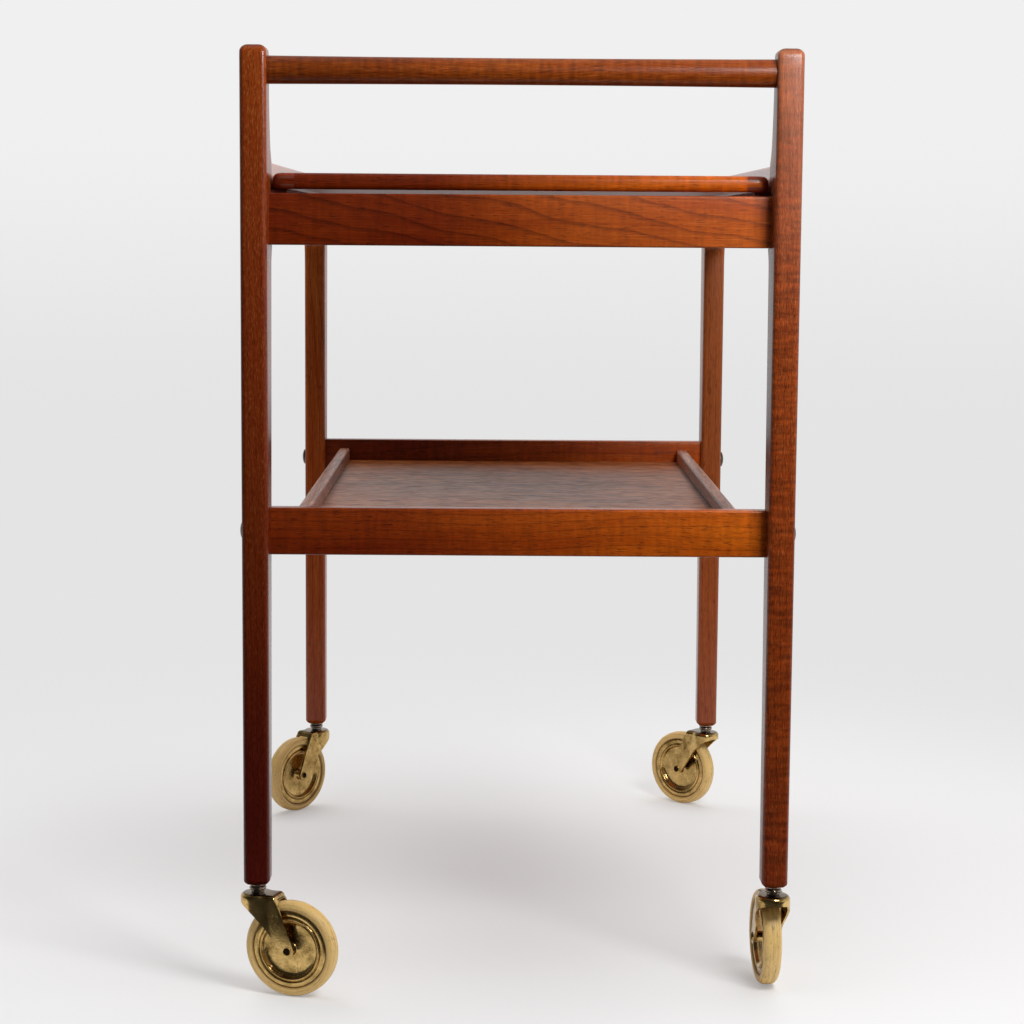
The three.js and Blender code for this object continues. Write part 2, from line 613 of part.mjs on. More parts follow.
function traySideRim(name, ring, side) {
  const keep = toSolid(box(
    side * TRAY_INNER_HALF_WIDTH, side * (TRAY_HALF_WIDTH + OVERCUT),
    -TRAY_HALF_LENGTH - OVERCUT, TRAY_HALF_LENGTH + OVERCUT, -OVERCUT, TRAY_RIM_HEIGHT + OVERCUT,
  ));
  const solid = ring.intersect(keep).subtract(trayTongue(-1, 0)).subtract(trayTongue(1, 0));
  return piece(name, toGeometry(solid), TEAK_DARK);
}

function trayPanel() {
  return piece("tray_panel", rebatedPanel(
    TRAY_INNER_HALF_WIDTH - FIT_GAP, -TRAY_INNER_HALF_LENGTH + FIT_GAP, TRAY_INNER_HALF_LENGTH - FIT_GAP,
    TRAY_PANEL_GROOVE, TRAY_PANEL_RISE + GLUE_LINE, TRAY_PANEL_TOP - GLUE_LINE,
  ), VENEER);
}

function tray() {
  const ring = trayRing();
  const group = new THREE.Group();
  group.add(trayEndRim("tray_rim_near", ring, -1), trayEndRim("tray_rim_far", ring, 1));
  group.add(traySideRim("tray_rim_left", ring, -1), traySideRim("tray_rim_right", ring, 1));
  group.add(trayPanel());
  group.position.set(0, (TRAY_NEAR_Y + TRAY_FAR_Y) / 2, TRAY_BOTTOM);
  return group;
}

// ---------------------------------------------------------------- lower shelf

const SHELF_SIDE_OUTER_X = CLEAR_WIDTH / 2 - SHELF_SIDE_INSET;
const SHELF_SIDE_INNER_X = SHELF_SIDE_OUTER_X - SHELF_SIDE_THICKNESS;
const NEAR_SHELF_RAIL_Y = NEAR_FACE_Y + NEAR_SHELF_RAIL_SETBACK;
const FAR_SHELF_RAIL_Y = FAR_FACE_Y + FAR_CROSS_SETBACK;
const SHELF_START_Y = NEAR_SHELF_RAIL_Y + SHELF_RAIL_THICKNESS;
const GROOVE_BOTTOM = SHELF_PANEL_TOP - SHELF_PANEL_THICKNESS - GLUE_LINE;
const GROOVE_TOP = SHELF_PANEL_TOP - PANEL_REBATE + GLUE_LINE;

// A cross rail with the panel's groove on the side that faces the shelf.
function shelfRail(name, faceY, shelfwards) {
  const length = CLEAR_WIDTH - 2 * GLUE_LINE;
  const section = roundedRectangle(
    0, SHELF_RAIL_THICKNESS, SHELF_RAIL_BOTTOM, SHELF_RAIL_TOP, CROSS_EDGE_ROUND,
  );
  const board = prism(section, length, "x");
  board.translate(-length / 2, 0, 0);
  const grooveFace = shelfwards > 0 ? SHELF_RAIL_THICKNESS : 0;
  const reach = SHELF_SIDE_INNER_X + SHELF_PANEL_GROOVE;
  const groove = box(
    -reach, reach, grooveFace + shelfwards * OVERCUT, grooveFace - shelfwards * SHELF_PANEL_GROOVE,
    GROOVE_BOTTOM, GROOVE_TOP,
  );
  const pilots = [-1, 1].map((side) => {
    const depth = SHELF_SCREW_LENGTH - LEG_THICKNESS + FIT_GAP;
    const ends = [side * (length / 2 + OVERCUT), side * (length / 2 - depth)];
    const hole = rod(SHELF_SCREW_RADIUS + FIT_GAP, Math.min(...ends), Math.max(...ends), "x", SCREW_SIDES);
    hole.translate(0, SHELF_RAIL_THICKNESS / 2, SHELF_RAIL_MIDDLE);
    return hole;
  });
  return piece(name, shaped(board, [], [groove, ...pilots]), TEAK_LIGHT, 0, faceY, 0);
}

// A long side member: its upper part is the lip beside the panel.
function shelfSide(name, side) {
  const start = SHELF_START_Y + GLUE_LINE;
  const end = FAR_SHELF_RAIL_Y - GLUE_LINE;
  const section = roundedRectangle(
    SHELF_RAIL_BOTTOM + SHELF_SIDE_BOTTOM_RISE, SHELF_PANEL_TOP + SHELF_LIP_HEIGHT,
    Math.min(side * SHELF_SIDE_INNER_X, side * SHELF_SIDE_OUTER_X),
    Math.max(side * SHELF_SIDE_INNER_X, side * SHELF_SIDE_OUTER_X), CROSS_EDGE_ROUND,
  );
  const board = prism(section, end - start, "y");
  board.translate(0, start, 0);
  const groove = box(
    side * (SHELF_SIDE_INNER_X - OVERCUT), side * (SHELF_SIDE_INNER_X + SHELF_PANEL_GROOVE),
    start - OVERCUT, end + OVERCUT, GROOVE_BOTTOM, GROOVE_TOP,
  );
  return piece(name, shaped(board, [], [groove]), TEAK_DARK);
}

function shelfPanel() {
  return piece("shelf_panel", rebatedPanel(
    SHELF_SIDE_INNER_X - FIT_GAP, SHELF_START_Y + FIT_GAP, FAR_SHELF_RAIL_Y - FIT_GAP,
    SHELF_PANEL_GROOVE, SHELF_PANEL_TOP - SHELF_PANEL_THICKNESS, SHELF_PANEL_TOP,
  ), VENEER);
}

function shelfScrew(name, side, railY) {
  const mesh = screw(name, BRASS, {
    shank: SHELF_SCREW_RADIUS,
    length: SHELF_SCREW_LENGTH,
    headRadius: SHELF_SCREW_HEAD_RADIUS,
    headHeight: SHELF_SCREW_HEAD_HEIGHT,
  });
  mesh.rotation.z = side > 0 ? 0 : Math.PI;
  mesh.position.set(
    side * (CART_WIDTH / 2 + GLUE_LINE), railY + SHELF_RAIL_THICKNESS / 2, SHELF_RAIL_MIDDLE,
  );
  return mesh;
}

function shelf() {
  const group = new THREE.Group();
  group.add(shelfRail("shelf_rail_near", NEAR_SHELF_RAIL_Y, 1));
  group.add(shelfRail("shelf_rail_far", FAR_SHELF_RAIL_Y, -1));
  group.add(shelfSide("shelf_side_left", -1), shelfSide("shelf_side_right", 1));
  group.add(shelfPanel());
  group.add(shelfScrew("shelf_screw_near_left", -1, NEAR_SHELF_RAIL_Y));
  group.add(shelfScrew("shelf_screw_near_right", 1, NEAR_SHELF_RAIL_Y));
  group.add(shelfScrew("shelf_screw_far_left", -1, FAR_SHELF_RAIL_Y));
  group.add(shelfScrew("shelf_screw_far_right", 1, FAR_SHELF_RAIL_Y));
  return group;
}

// ---------------------------------------------------------------- castors

// A castor's own frame: the stem's axis is x = y = 0, the floor is z = 0 and the wheel
// trails towards +x. A wheel's own frame has the axle along y through its origin.

function castorSocket(name) {
  const bore = STEM_RADIUS + FIT_GAP;
  const flangeTop = SOCKET_BOTTOM + SOCKET_FLANGE_HEIGHT;
  const profile = [
    [bore, SOCKET_BOTTOM],
    [SOCKET_FLANGE_RADIUS - COLLAR_CREST, SOCKET_BOTTOM],
    [SOCKET_FLANGE_RADIUS, SOCKET_BOTTOM + SOCKET_FLANGE_HEIGHT / 2],
    [SOCKET_FLANGE_RADIUS - COLLAR_CREST, flangeTop],
    [SOCKET_RADIUS, flangeTop],
    [SOCKET_RADIUS, FOOT_HEIGHT + SOCKET_DEPTH],
    [bore, FOOT_HEIGHT + SOCKET_DEPTH],
    [bore, SOCKET_BOTTOM],
  ];
  return piece(name, turned(profile, ROD_SIDES), STEEL);
}

// The stem is fixed in the socket. The fork turns between its spacer and its riveted end.
function castorStem(name) {
  const rivetTop = FORK_PLATE_UNDERSIDE - RUNNING_GAP;
  const collarTop = STEM_COLLAR_BOTTOM + STEM_COLLAR_HEIGHT;
  const profile = [
    [0, rivetTop - STEM_RIVET_HEIGHT],
    [STEM_RIVET_RADIUS * 0.6, rivetTop - STEM_RIVET_HEIGHT],
    [STEM_RIVET_RADIUS, rivetTop],
    [STEM_RADIUS, rivetTop],
    [STEM_RADIUS, STEM_SPACER_BOTTOM],
    [STEM_SPACER_RADIUS, STEM_SPACER_BOTTOM],
    [STEM_SPACER_RADIUS, STEM_COLLAR_BOTTOM],
    [STEM_COLLAR_RADIUS - COLLAR_CREST, STEM_COLLAR_BOTTOM],
    [STEM_COLLAR_RADIUS, STEM_COLLAR_BOTTOM + STEM_COLLAR_HEIGHT / 2],
    [STEM_COLLAR_RADIUS - COLLAR_CREST, collarTop],
    [STEM_RADIUS, collarTop],
    [STEM_RADIUS, SOCKET_BOTTOM + STEM_INSERTION],
    [0, SOCKET_BOTTOM + STEM_INSERTION],
  ];
  return piece(name, turned(profile, ROD_SIDES), STEEL);
}

// Points on the arm's end circle that a straight edge from a far point touches.
function armTangent([x, z], side) {
  const dx = x - CASTOR_TRAIL;
  const dz = z - WHEEL_RADIUS;
  const bearing = Math.atan2(dz, dx);
  const spread = Math.acos(FORK_ARM_END_RADIUS / Math.hypot(dx, dz));
  return bearing + side * spread;
}

// Side view of the stamped shell: the front edge sweeps from the nose down into the arm, and
// the back slants from the tail of the head to the arm's round end.
function forkSideOutline() {
  const nose = -FORK_HEAD_RADIUS;
  const throat = [FORK_THROAT_X, FORK_TOP - FORK_THROAT_DROP];
  const backTop = [FORK_TAIL, FORK_TOP];
  const r = FORK_ARM_END_RADIUS;
  const first = armTangent(throat, 1);
  const last = armTangent(backTop, -1) + 2 * Math.PI;
  const touch = [CASTOR_TRAIL + r * Math.cos(first), WHEEL_RADIUS + r * Math.sin(first)];
  const shape = new THREE.Shape();
  shape.moveTo(nose - OVERCUT, FORK_TOP);
  shape.lineTo(nose - OVERCUT, FORK_TOP - FORK_SKIRT);
  shape.lineTo(nose, FORK_TOP - FORK_SKIRT);
  shape.quadraticCurveTo(...throat, ...touch);
  shape.absarc(CASTOR_TRAIL, WHEEL_RADIUS, r, first, last, false);
  shape.lineTo(...backTop);
  return shape;
}

// Plan of the shell, less a wall: a round head about the stem and two parallel arms, which
// run past the back.
function forkPlan(wall, past) {
  const radius = FORK_HEAD_RADIUS - wall;
  const half = FORK_ARM_HALF_WIDTH - wall;
  const bearing = Math.asin(half / radius);
  const shape = new THREE.Shape();
  shape.moveTo(past, -half);
  shape.lineTo(past, half);
  shape.absarc(0, 0, radius, bearing, 2 * Math.PI - bearing);
  return shape;
}

// Turns a prism of an (x, z) outline, extruded along z, up on its edge and centres it on y.
function stoodUp(outline, half) {
  const geometry = prism(outline, 2 * half, "z");
  geometry.rotateX(Math.PI / 2);
  geometry.translate(0, half, 0);
  return geometry;
}

function forkHollow(past) {
  const across = toSolid(prism(forkPlan(FORK_SHEET, past), FORK_PLATE_UNDERSIDE, "z"));
  const slope = (CASTOR_TRAIL - FORK_TAIL) / (FORK_TOP - WHEEL_RADIUS);
  const backTop = FORK_TAIL - FORK_SHEET + slope * FORK_PLATE_THICKNESS;
  const outline = outlineOf([
    [-past, 0], [backTop + slope * FORK_PLATE_UNDERSIDE, 0], [backTop, FORK_PLATE_UNDERSIDE],
    [-past, FORK_PLATE_UNDERSIDE],
  ]);
  return across.intersect(toSolid(stoodUp(outline, FORK_HEAD_RADIUS)));
}

function forkShell() {
  const past = CASTOR_TRAIL + WHEEL_RADIUS;
  const room = FORK_ARM_HALF_WIDTH - FORK_SHEET;
  const plan = prism(forkPlan(0, past), FORK_TOP, "z", FORK_BEND, 2);
  let shell = toSolid(stoodUp(forkSideOutline(), FORK_HEAD_RADIUS)).intersect(toSolid(plan));
  shell = shell.subtract(forkHollow(past));
  const belowBack = box(0, past, -room, room, 0, FORK_TOP - FORK_BACK_SKIRT);
  const archRadius = WHEEL_RADIUS + ARCH_CLEARANCE;
  const archHalf = TYRE_HALF_WIDTH + OVERCUT;
  const arch = rod(archRadius, -archHalf, archHalf, "y", WHEEL_SIDES);
  arch.translate(CASTOR_TRAIL, 0, WHEEL_RADIUS);
  shell = shell.subtract(toSolid(belowBack)).subtract(toSolid(arch));
  return shell;
}

function castorFork(name) {
  const stemHole = rod(STEM_RADIUS + FIT_GAP, FORK_PLATE_UNDERSIDE - OVERCUT, FORK_TOP + OVERCUT);
  const past = FORK_ARM_HALF_WIDTH + OVERCUT;
  const axleHole = rod(AXLE_RADIUS + FIT_GAP, -past, past, "y");
  axleHole.translate(CASTOR_TRAIL, 0, WHEEL_RADIUS);
  const solid = forkShell().subtract(toSolid(stemHole)).subtract(toSolid(axleHole));
  return piece(name, toGeometry(solid), BRASS);
}

function castorAxle(name) {
  const half = FORK_ARM_HALF_WIDTH + AXLE_PROUD;
  const profile = [
    [0, -half + AXLE_DISH],
    [AXLE_RADIUS * 0.7, -half],
    [AXLE_RADIUS, -half],
    [AXLE_RADIUS, half],
    [AXLE_RADIUS * 0.7, half],
    [0, half - AXLE_DISH],
  ];
  return piece(name, turned(profile, ROD_SIDES, "y"), STEEL);
}

// Mirrors one half of a wheel's section, given from the hub outwards on the +y side.
function wheelSection(half) {
  const lower = half.map(([radius, y]) => [radius, -y]);
  return [...lower, ...half.slice().reverse(), lower[0]];
}

// Half a side's turn puts a flat of the many-sided tyre on the floor.
function halfSide() {
  return Math.PI / WHEEL_SIDES;
}

function wheelHub(name) {
  const rim = HUB_RIM_HALF_WIDTH;
  const section = wheelSection([
    [AXLE_RADIUS + FIT_GAP, HUB_BOSS_HALF_WIDTH],
    [HUB_BOSS_RADIUS, HUB_BOSS_HALF_WIDTH],
    [HUB_BOSS_RADIUS + HUB_BOSS_SPREAD, HUB_DISC_HALF_WIDTH],
    [HUB_DISC_RADIUS, HUB_DISC_HALF_WIDTH],
    [HUB_BEAD_RADIUS, rim],
    [HUB_BEAD_RADIUS + HUB_GROOVE_OFFSET, rim - HUB_GROOVE_DEPTH],
    [HUB_RADIUS, rim],
  ]);
  return piece(name, turned(section, WHEEL_SIDES, "y", halfSide()), BRASS);
}

function wheelTyre(name) {
  const w = TYRE_HALF_WIDTH;
  const bore = HUB_RADIUS + FIT_GAP;
  const wall = WHEEL_RADIUS - bore;
  const section = wheelSection([
    [bore, w * 0.9],
    [bore + wall * 0.4, w],
    [bore + wall * 0.75, w * 0.84],
    [bore + wall * 0.94, w * 0.48],
    [WHEEL_RADIUS, w * 0.15],
  ]).map(([radius, y]) => [radius / Math.cos(halfSide()), y]);
  return piece(name, turned(section, WHEEL_SIDES, "y", halfSide()), TYRE_RUBBER);
}

function castor(corner, x, y) {
  const group = new THREE.Group();
  group.position.set(x, y, 0);
  group.rotation.z = THREE.MathUtils.degToRad(CASTOR_HEADINGS[corner]);
  group.add(castorSocket(`socket_${corner}`), castorStem(`stem_${corner}`));
  group.add(castorFork(`fork_${corner}`));
  const wheel = new THREE.Group();
  wheel.position.set(CASTOR_TRAIL, 0, WHEEL_RADIUS);
  wheel.add(castorAxle(`axle_${corner}`), wheelHub(`hub_${corner}`), wheelTyre(`tyre_${corner}`));
  group.add(wheel);
  return group;
}

function castors() {
  const group = new THREE.Group();
  const nearY = NEAR_FACE_Y + LEG_DEPTH_AT_FOOT / 2;
  const farY = FAR_FACE_Y + LEG_DEPTH_AT_FOOT / 2;
  group.add(castor("near_left", -LEG_CENTRE_X, nearY), castor("near_right", LEG_CENTRE_X, nearY));
  group.add(castor("far_left", -LEG_CENTRE_X, farY), castor("far_right", LEG_CENTRE_X, farY));
  return group;
}

// ---------------------------------------------------------------- assembly

const frame = new THREE.Group();
frame.position.z = FOOT_HEIGHT;
frame.add(topFrame(), tray(), shelf());

const cart = new THREE.Group();
cart.add(frame, castors());
cart.updateMatrixWorld(true);
const middle = new THREE.Box3().setFromObject(cart, true).getCenter(new THREE.Vector3());
cart.position.set(-middle.x, -middle.y, 0);

export default cart;
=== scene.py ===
"""Dresses a teak bar cart on brass castors: boards, turned and pressed pieces, and finishes."""

import json
import math

import bmesh
import bpy
from bpy.props import FloatProperty, FloatVectorProperty, PointerProperty
from mathutils import Matrix, Vector


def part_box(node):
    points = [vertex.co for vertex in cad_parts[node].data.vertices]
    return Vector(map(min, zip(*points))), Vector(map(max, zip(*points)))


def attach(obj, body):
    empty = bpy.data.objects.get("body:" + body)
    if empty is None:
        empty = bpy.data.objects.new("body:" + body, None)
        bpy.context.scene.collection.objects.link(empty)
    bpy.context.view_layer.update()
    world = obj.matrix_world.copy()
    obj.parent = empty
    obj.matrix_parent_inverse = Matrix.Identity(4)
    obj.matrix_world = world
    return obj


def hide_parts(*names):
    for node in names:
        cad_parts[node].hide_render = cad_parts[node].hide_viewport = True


bl_info = {
    "name": "Teak bar cart",
    "version": (1, 0, 0),
    "blender": (4, 5, 0),
    "location": "3D View > Sidebar > Bar cart",
    "description": "Builds the visible pieces of a teak bar cart on brass castors",
    "category": "Add Mesh",
}

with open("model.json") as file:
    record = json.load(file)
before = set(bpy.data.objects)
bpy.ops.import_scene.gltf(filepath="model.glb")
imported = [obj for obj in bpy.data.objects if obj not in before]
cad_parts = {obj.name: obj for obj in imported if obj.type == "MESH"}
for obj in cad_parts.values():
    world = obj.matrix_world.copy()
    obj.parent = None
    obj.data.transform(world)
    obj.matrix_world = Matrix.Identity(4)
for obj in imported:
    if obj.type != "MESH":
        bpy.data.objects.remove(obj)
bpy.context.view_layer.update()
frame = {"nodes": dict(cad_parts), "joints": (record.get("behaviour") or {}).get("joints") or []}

SIDES = ("left", "right")
ENDS = ("near", "far")
CORNERS = ("near_left", "near_right", "far_left", "far_right")
AXES = {"X": 0, "Y": 1, "Z": 2}
JOINTS = {joint["name"]: joint for joint in frame["joints"]}

# Corners of a piece that are nearer than MERGE become one. Places that differ by less than
# EXACT are the same place.
MERGE = 2e-6
EXACT = 1e-6
# A step too small to see, which keeps two corners of an outline apart.
HAIR = 0.0002
# Farther than the cart reaches, for a block that takes in everything on one side.
BEYOND = 1.0
# Long smooth faces shade wrongly where light grazes them, so they are parted about this often.
PITCH = 0.015
# The rounding of a leg's edge fades out over this distance from the glued joint.
FADE = 0.018
# A wave texture of scale 1 repeats after this length.
WAVE = 0.314


# ------------------------------------------------------------------ sizes, colours and studio


def linear(code):
    """Turns an sRGB hex value such as "8a3f1c" into a linear colour."""
    values = []
    for start in (0, 2, 4):
        c = int(code[start : start + 2], 16) / 255
        values.append(c / 12.92 if c <= 0.04045 else ((c + 0.055) / 1.055) ** 2.4)
    return tuple(values)


def length(name, description, metres):
    return FloatProperty(
        name=name, description=description, default=metres, min=0.0, precision=4, unit="LENGTH"
    )


def colour(name, description, code):
    return FloatVectorProperty(
        name=name, description=description, default=linear(code), size=3, min=0.0, max=1.0,
        subtype="COLOR",
    )


def turn(name, description, degrees):
    return FloatProperty(
        name=name, description=description, default=math.radians(degrees), unit="ROTATION"
    )


def power(name, description, watts):
    return FloatProperty(
        name=name, description=description, default=watts, min=0.0, unit="POWER"
    )


def level(name, description, value):
    return FloatProperty(name=name, description=description, default=value, min=0.0)


class CartSizes(bpy.types.PropertyGroup):
    """Sizes that finish the pieces. Everything else is read from the frame."""

    leg_edge: length("Leg edge radius", "Rounding of the legs' long edges", 0.0040)
    leg_top: length("Leg top radius", "Rounded corners at the top of a leg", 0.0070)
    leg_crown: length("Leg crown radius", "Rounding across the top of a leg", 0.0052)
    leg_foot_depth: length("Leg depth at foot", "Depth of a leg where it meets its castor", 0.0230)
    leg_handle_depth: length("Leg depth at handle", "Depth of a near leg at the handle", 0.0270)
    leg_rail_depth: length("Leg depth at rail", "Depth of a near leg at the side rail", 0.0420)
    leg_flare: length("Leg flare", "Swelling of a leg under its side rail", 0.0045)
    leg_flare_height: length("Leg flare height", "Height of that swelling", 0.0220)
    foot_chamfer: length("Foot chamfer", "Chamfer round the foot of a leg", 0.0033)
    far_setback: length("Far apron setback", "Far legs' inner face to the far apron's", 0.0075)
    tenon: length("Tenon", "Tenons of the aprons and the handle", 0.0120)
    rail_tenon: length("Side rail tenon", "Tenons of the side rails", 0.0070)
    board_edge: length("Board edge radius", "Rounding of aprons and shelf rails", 0.0016)
    batten_edge: length("Batten edge radius", "Rounding of the tray's battens", 0.00064)
    rail_edge: length("Side rail edge radius", "Rounding of the top side rails", 0.0022)
    lip_edge: length("Lip edge radius", "Rounding of the shelf's side members", 0.0026)
    rim_edge: length("Tray rim edge radius", "Rounding of the tray's rim", 0.0050)
    rim_corner: length("Tray corner radius", "Corner of the tray seen from above", 0.0090)
    rim_finger: length("Tray finger length", "Tongue of an end rim in a side rim", 0.0112)
    handle_waist: length("Handle waist", "How much thinner the handle is at its middle", 0.0006)
    screw_dome: length("Screw dome", "Height of a shelf screw's round head", 0.0033)
    fork_head: length("Fork head radius", "Round head of the fork about its stem", 0.0132)
    fork_half: length("Fork half width", "Half the width over the fork's arms", 0.0104)
    fork_neck: length("Fork neck radius", "Hollow where the head narrows to the arms", 0.0045)
    fork_tail: length("Fork tail", "Stem's axis to the back edge of the fork", 0.0184)
    fork_corner: length("Fork corner radius", "Corners at the back of the fork", 0.0022)
    fork_bend: length("Fork bend radius", "Bend round the fork's plate", 0.0033)
    fork_sheet: length("Fork sheet", "Thickness of the fork's sheet", 0.0018)
    fork_skirt: length("Fork skirt", "Depth of the fork's nose under its top", 0.0064)
    fork_throat: length("Fork throat depth", "Bend of the front edge under the top", 0.0095)
    fork_throat_back: length("Fork throat setback", "That bend behind the stem's axis", 0.00165)
    fork_arm_end: length("Fork arm end radius", "Round end of each arm", 0.0056)
    fork_arch: length("Fork arch depth", "Depth of the back flap over the tyre", 0.0039)
    axle: length("Axle radius", "Radius of the axle's riveted ends", 0.0034)
    axle_proud: length("Axle end", "How far the axle stands out of the arms", 0.0006)


class CartFinishes(bpy.types.PropertyGroup):
    """Colours of the woods, metals and tyres."""

    teak_red: colour("Red teak", "Dark, reddish heartwood", "782403")
    teak_brown: colour("Brown teak", "Middle tone of rails, aprons and rims", "8c2f04")
    teak_gold: colour("Golden teak", "Lighter tone of the side rails", "bd5606")
    teak_amber: colour("Amber teak", "Darker tone of shelf rails and far left leg", "9f3b03")
    teak_honey: colour("Honey teak", "Lighter tone of aprons, end rims, shelf rails", "ca640e")
    teak_chestnut: colour("Chestnut teak", "Darker tone of the handle", "601d01")
    teak_copper: colour("Copper teak", "Lighter tone of the handle", "924505")
    teak_fleck: colour("Teak fleck", "Pale flecks between the pores", "b97a44")
    teak_russet: colour("Russet teak", "Lighter tone of the near legs", "97440e")
    teak_dun: colour("Dun teak", "Darker tone of the far right leg", "8f4a1c")
    teak_sand: colour("Sand teak", "Lighter tone of the far right leg", "b3602c")
    teak_straw: colour("Straw teak", "Lighter tone of the far left leg", "cf7a2c")
    teak_rose: colour("Rose teak", "Darker tone of near right leg, shelf sides", "69220d")
    # A pale tone: the light streaks of the shelf sides, and the painted sheen near the tops of the
    # right-hand legs and on the aprons' right ends.
    teak_pale_and_sheen: colour("Pale teak and sheen", "Pale tone, also painted as sheen", "cc9070")
    teak_line: colour("Growth line", "Dark line between growth rings", "3a0e04")
    teak_pore: colour("Pore", "Open pores under the lacquer", "2a0b04")
    veneer_dark: colour("Veneer dark", "Dark streaks of both panels' veneer", "642812")
    veneer_light: colour("Veneer light", "Light streaks of the shelf's veneer", "cc7a40")
    end_grain: colour("End grain", "Dry end grain of the tray's fingers", "5e3c32")
    brass_bright: colour("Bright brass", "Brass where wear keeps it clean", "d6b473")
    brass_dull: colour("Dull brass", "Brass under an even tarnish", "8e7340")
    brass_dark: colour("Brass tarnish", "Dark tarnish in corners and pits", "2c1d10")
    brass_brown: colour("Brown brass", "Darker brown on the tops", "4c341c")
    steel: colour("Steel", "Turned stems and sockets of the castors", "9c8f84")
    steel_dark: colour("Dark steel", "Bronzed screws", "5a4c40")
    rubber: colour("Tyre", "Cream rubber, yellowed", "e6c077")
    rubber_grime: colour("Tyre grime", "Dirt and cracks in the tyres", "6a4620")
    floor: colour("Floor", "Pale studio floor", "f4f4f4")
    backdrop_low: colour("Backdrop, low", "Backdrop near the floor", "e4e4e4")
    backdrop_high: colour("Backdrop, high", "Backdrop above the cart", "f0f0f0")


class StudioSettings(bpy.types.PropertyGroup):
    """The camera and lights. Places are measured from the middle of the legs."""

    camera_place: FloatVectorProperty(
        name="Camera place", description="Camera from the middle of the legs, on the floor",
        default=(-0.01778, -2.10565, 0.58708), subtype="TRANSLATION", unit="LENGTH",
    )
    camera_pitch: turn("Pitch", "Camera looks down", 6.709)
    camera_yaw: turn("Yaw", "Camera turns left", -0.404)
    camera_roll: turn("Roll", "Camera leans", 0.425)
    camera_lens: FloatProperty(
        name="Lens", description="Focal length on a 36 mm sensor", default=84.99, unit="CAMERA"
    )
    key_power: power("Key light", "Soft box to the right front", 8.6)
    top_power: power("Top light", "Wide soft light over the cart", 80.0)
    world_level: level("Surround", "Even light from all round", 0.56)
    mirror_level: level("Surround in gloss", "Surround as gloss and metal show it", 0.90)
    room_level: level("Room in gloss", "Unlit room before the cart, as gloss shows it", 0.06)
    room_share: level("Room share", "Share of the surround that comes from the unlit room", 0.3)


# ------------------------------------------------------------------ making meshes


def span(node):
    """Lowest and highest corner of a CAD node, as two vectors."""
    low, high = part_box(node)
    return Vector(low), Vector(high)


def publish(bm, name, body, material, replaced, slot, sharp=40.0):
    """Makes a finished piece of a bmesh and seats it on its body."""
    bmesh.ops.remove_doubles(bm, verts=bm.verts, dist=MERGE)
    bmesh.ops.dissolve_degenerate(bm, edges=bm.edges, dist=EXACT)
    bmesh.ops.recalc_face_normals(bm, faces=bm.faces)
    mesh = bpy.data.meshes.new(name)
    bm.to_mesh(mesh)
    bm.free()
    mesh.polygons.foreach_set("use_smooth", [True] * len(mesh.polygons))
    mesh.set_sharp_from_angle(angle=math.radians(sharp))
    mesh.materials.append(material)
    piece = bpy.data.objects.new(name, mesh)
    bpy.context.scene.collection.objects.link(piece)
    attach(piece, body)
    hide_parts(*replaced)
    return piece


def new_verts(made):
    """The vertices among what a bmesh operator made."""
    return [item for item in made["geom"] if isinstance(item, bmesh.types.BMVert)]


def toward(angle):
    """A step of length 1 in a flat drawing, at an angle from its first axis."""
    return Vector((math.cos(angle), math.sin(angle)))


def plane(axis, place, sign=1):
    """A plane square to an axis at a place, as a point of it and its normal."""
    point, normal = Vector((0, 0, 0)), Vector((0, 0, 0))
    point[axis] = place
    normal[axis] = sign
    return point, normal


def round_edges(bm, edges, radius, segments=4):
    """Rounds edges to a quarter circle."""
    bmesh.ops.bevel(
        bm, geom=edges, offset=radius, offset_type="OFFSET", segments=segments, profile=0.5,
        affect="EDGES", material=-1, clamp_overlap=True,
    )


def runs_along(edge, axis):
    """Whether an edge runs along an axis, given by its number."""
    run = edge.verts[1].co - edge.verts[0].co
    return run.length > 0 and abs(run[axis]) / run.length > 0.999


def board(low, high, along, radius, segments=4):
    """A planed board with its four long edges rounded."""
    bm = bmesh.new()
    block = bmesh.ops.create_cube(bm, size=1.0)["verts"]
    bmesh.ops.scale(bm, vec=high - low, verts=block)
    bmesh.ops.translate(bm, vec=(low + high) / 2, verts=block)
    axis = AXES[along]
    round_edges(bm, [e for e in bm.edges if runs_along(e, axis)], radius, segments)
    cross_cut(bm, axis)
    return bm


def plank(node, ending, along, radius, wood, slot, tenon=0.0, segments=4):
    """Seats a planed board on the frame in place of a CAD node, less its tenons."""
    low, high = span(node)
    low[AXES[along]] += tenon
    high[AXES[along]] -= tenon
    bm = board(low, high, along, radius, segments)
    return publish(bm, f"{node}_{ending}", "frame", wood, [node], slot)


def score(bm, point, normal, clear=False):
    """Cuts every face along a plane, and clears what lies on its normal's side if asked."""
    return bmesh.ops.bisect_plane(
        bm, geom=bm.verts[:] + bm.edges[:] + bm.faces[:], dist=1e-7, plane_co=point,
        plane_no=normal, clear_outer=clear,
    )["geom_cut"]


def clear_inside(bm):
    """Deletes the faces left inside a solid, whose every edge has three faces or more."""
    inner = [f for f in bm.faces if all(len(e.link_faces) > 2 for e in f.edges)]
    bmesh.ops.delete(bm, geom=inner, context="FACES_ONLY")


def cross_cut(bm, axis):
    """Parts long faces at a pitch, so that their smooth shading and shadows stay true."""
    places = [vert.co[axis] for vert in bm.verts]
    low, high = min(places), max(places)
    count = max(1, int((high - low) / PITCH))
    for i in range(1, count):
        score(bm, *plane(axis, low + (high - low) * i / count))


def cut(bm, point, normal):
    """Saws off what lies on the normal's side of a plane and closes the cut."""
    score(bm, point, normal, True)
    edges = [e for e in bm.edges if e.is_boundary
             and all(abs((v.co - Vector(point)).dot(normal)) < EXACT for v in e.verts)]
    bmesh.ops.edgenet_fill(bm, edges=edges)


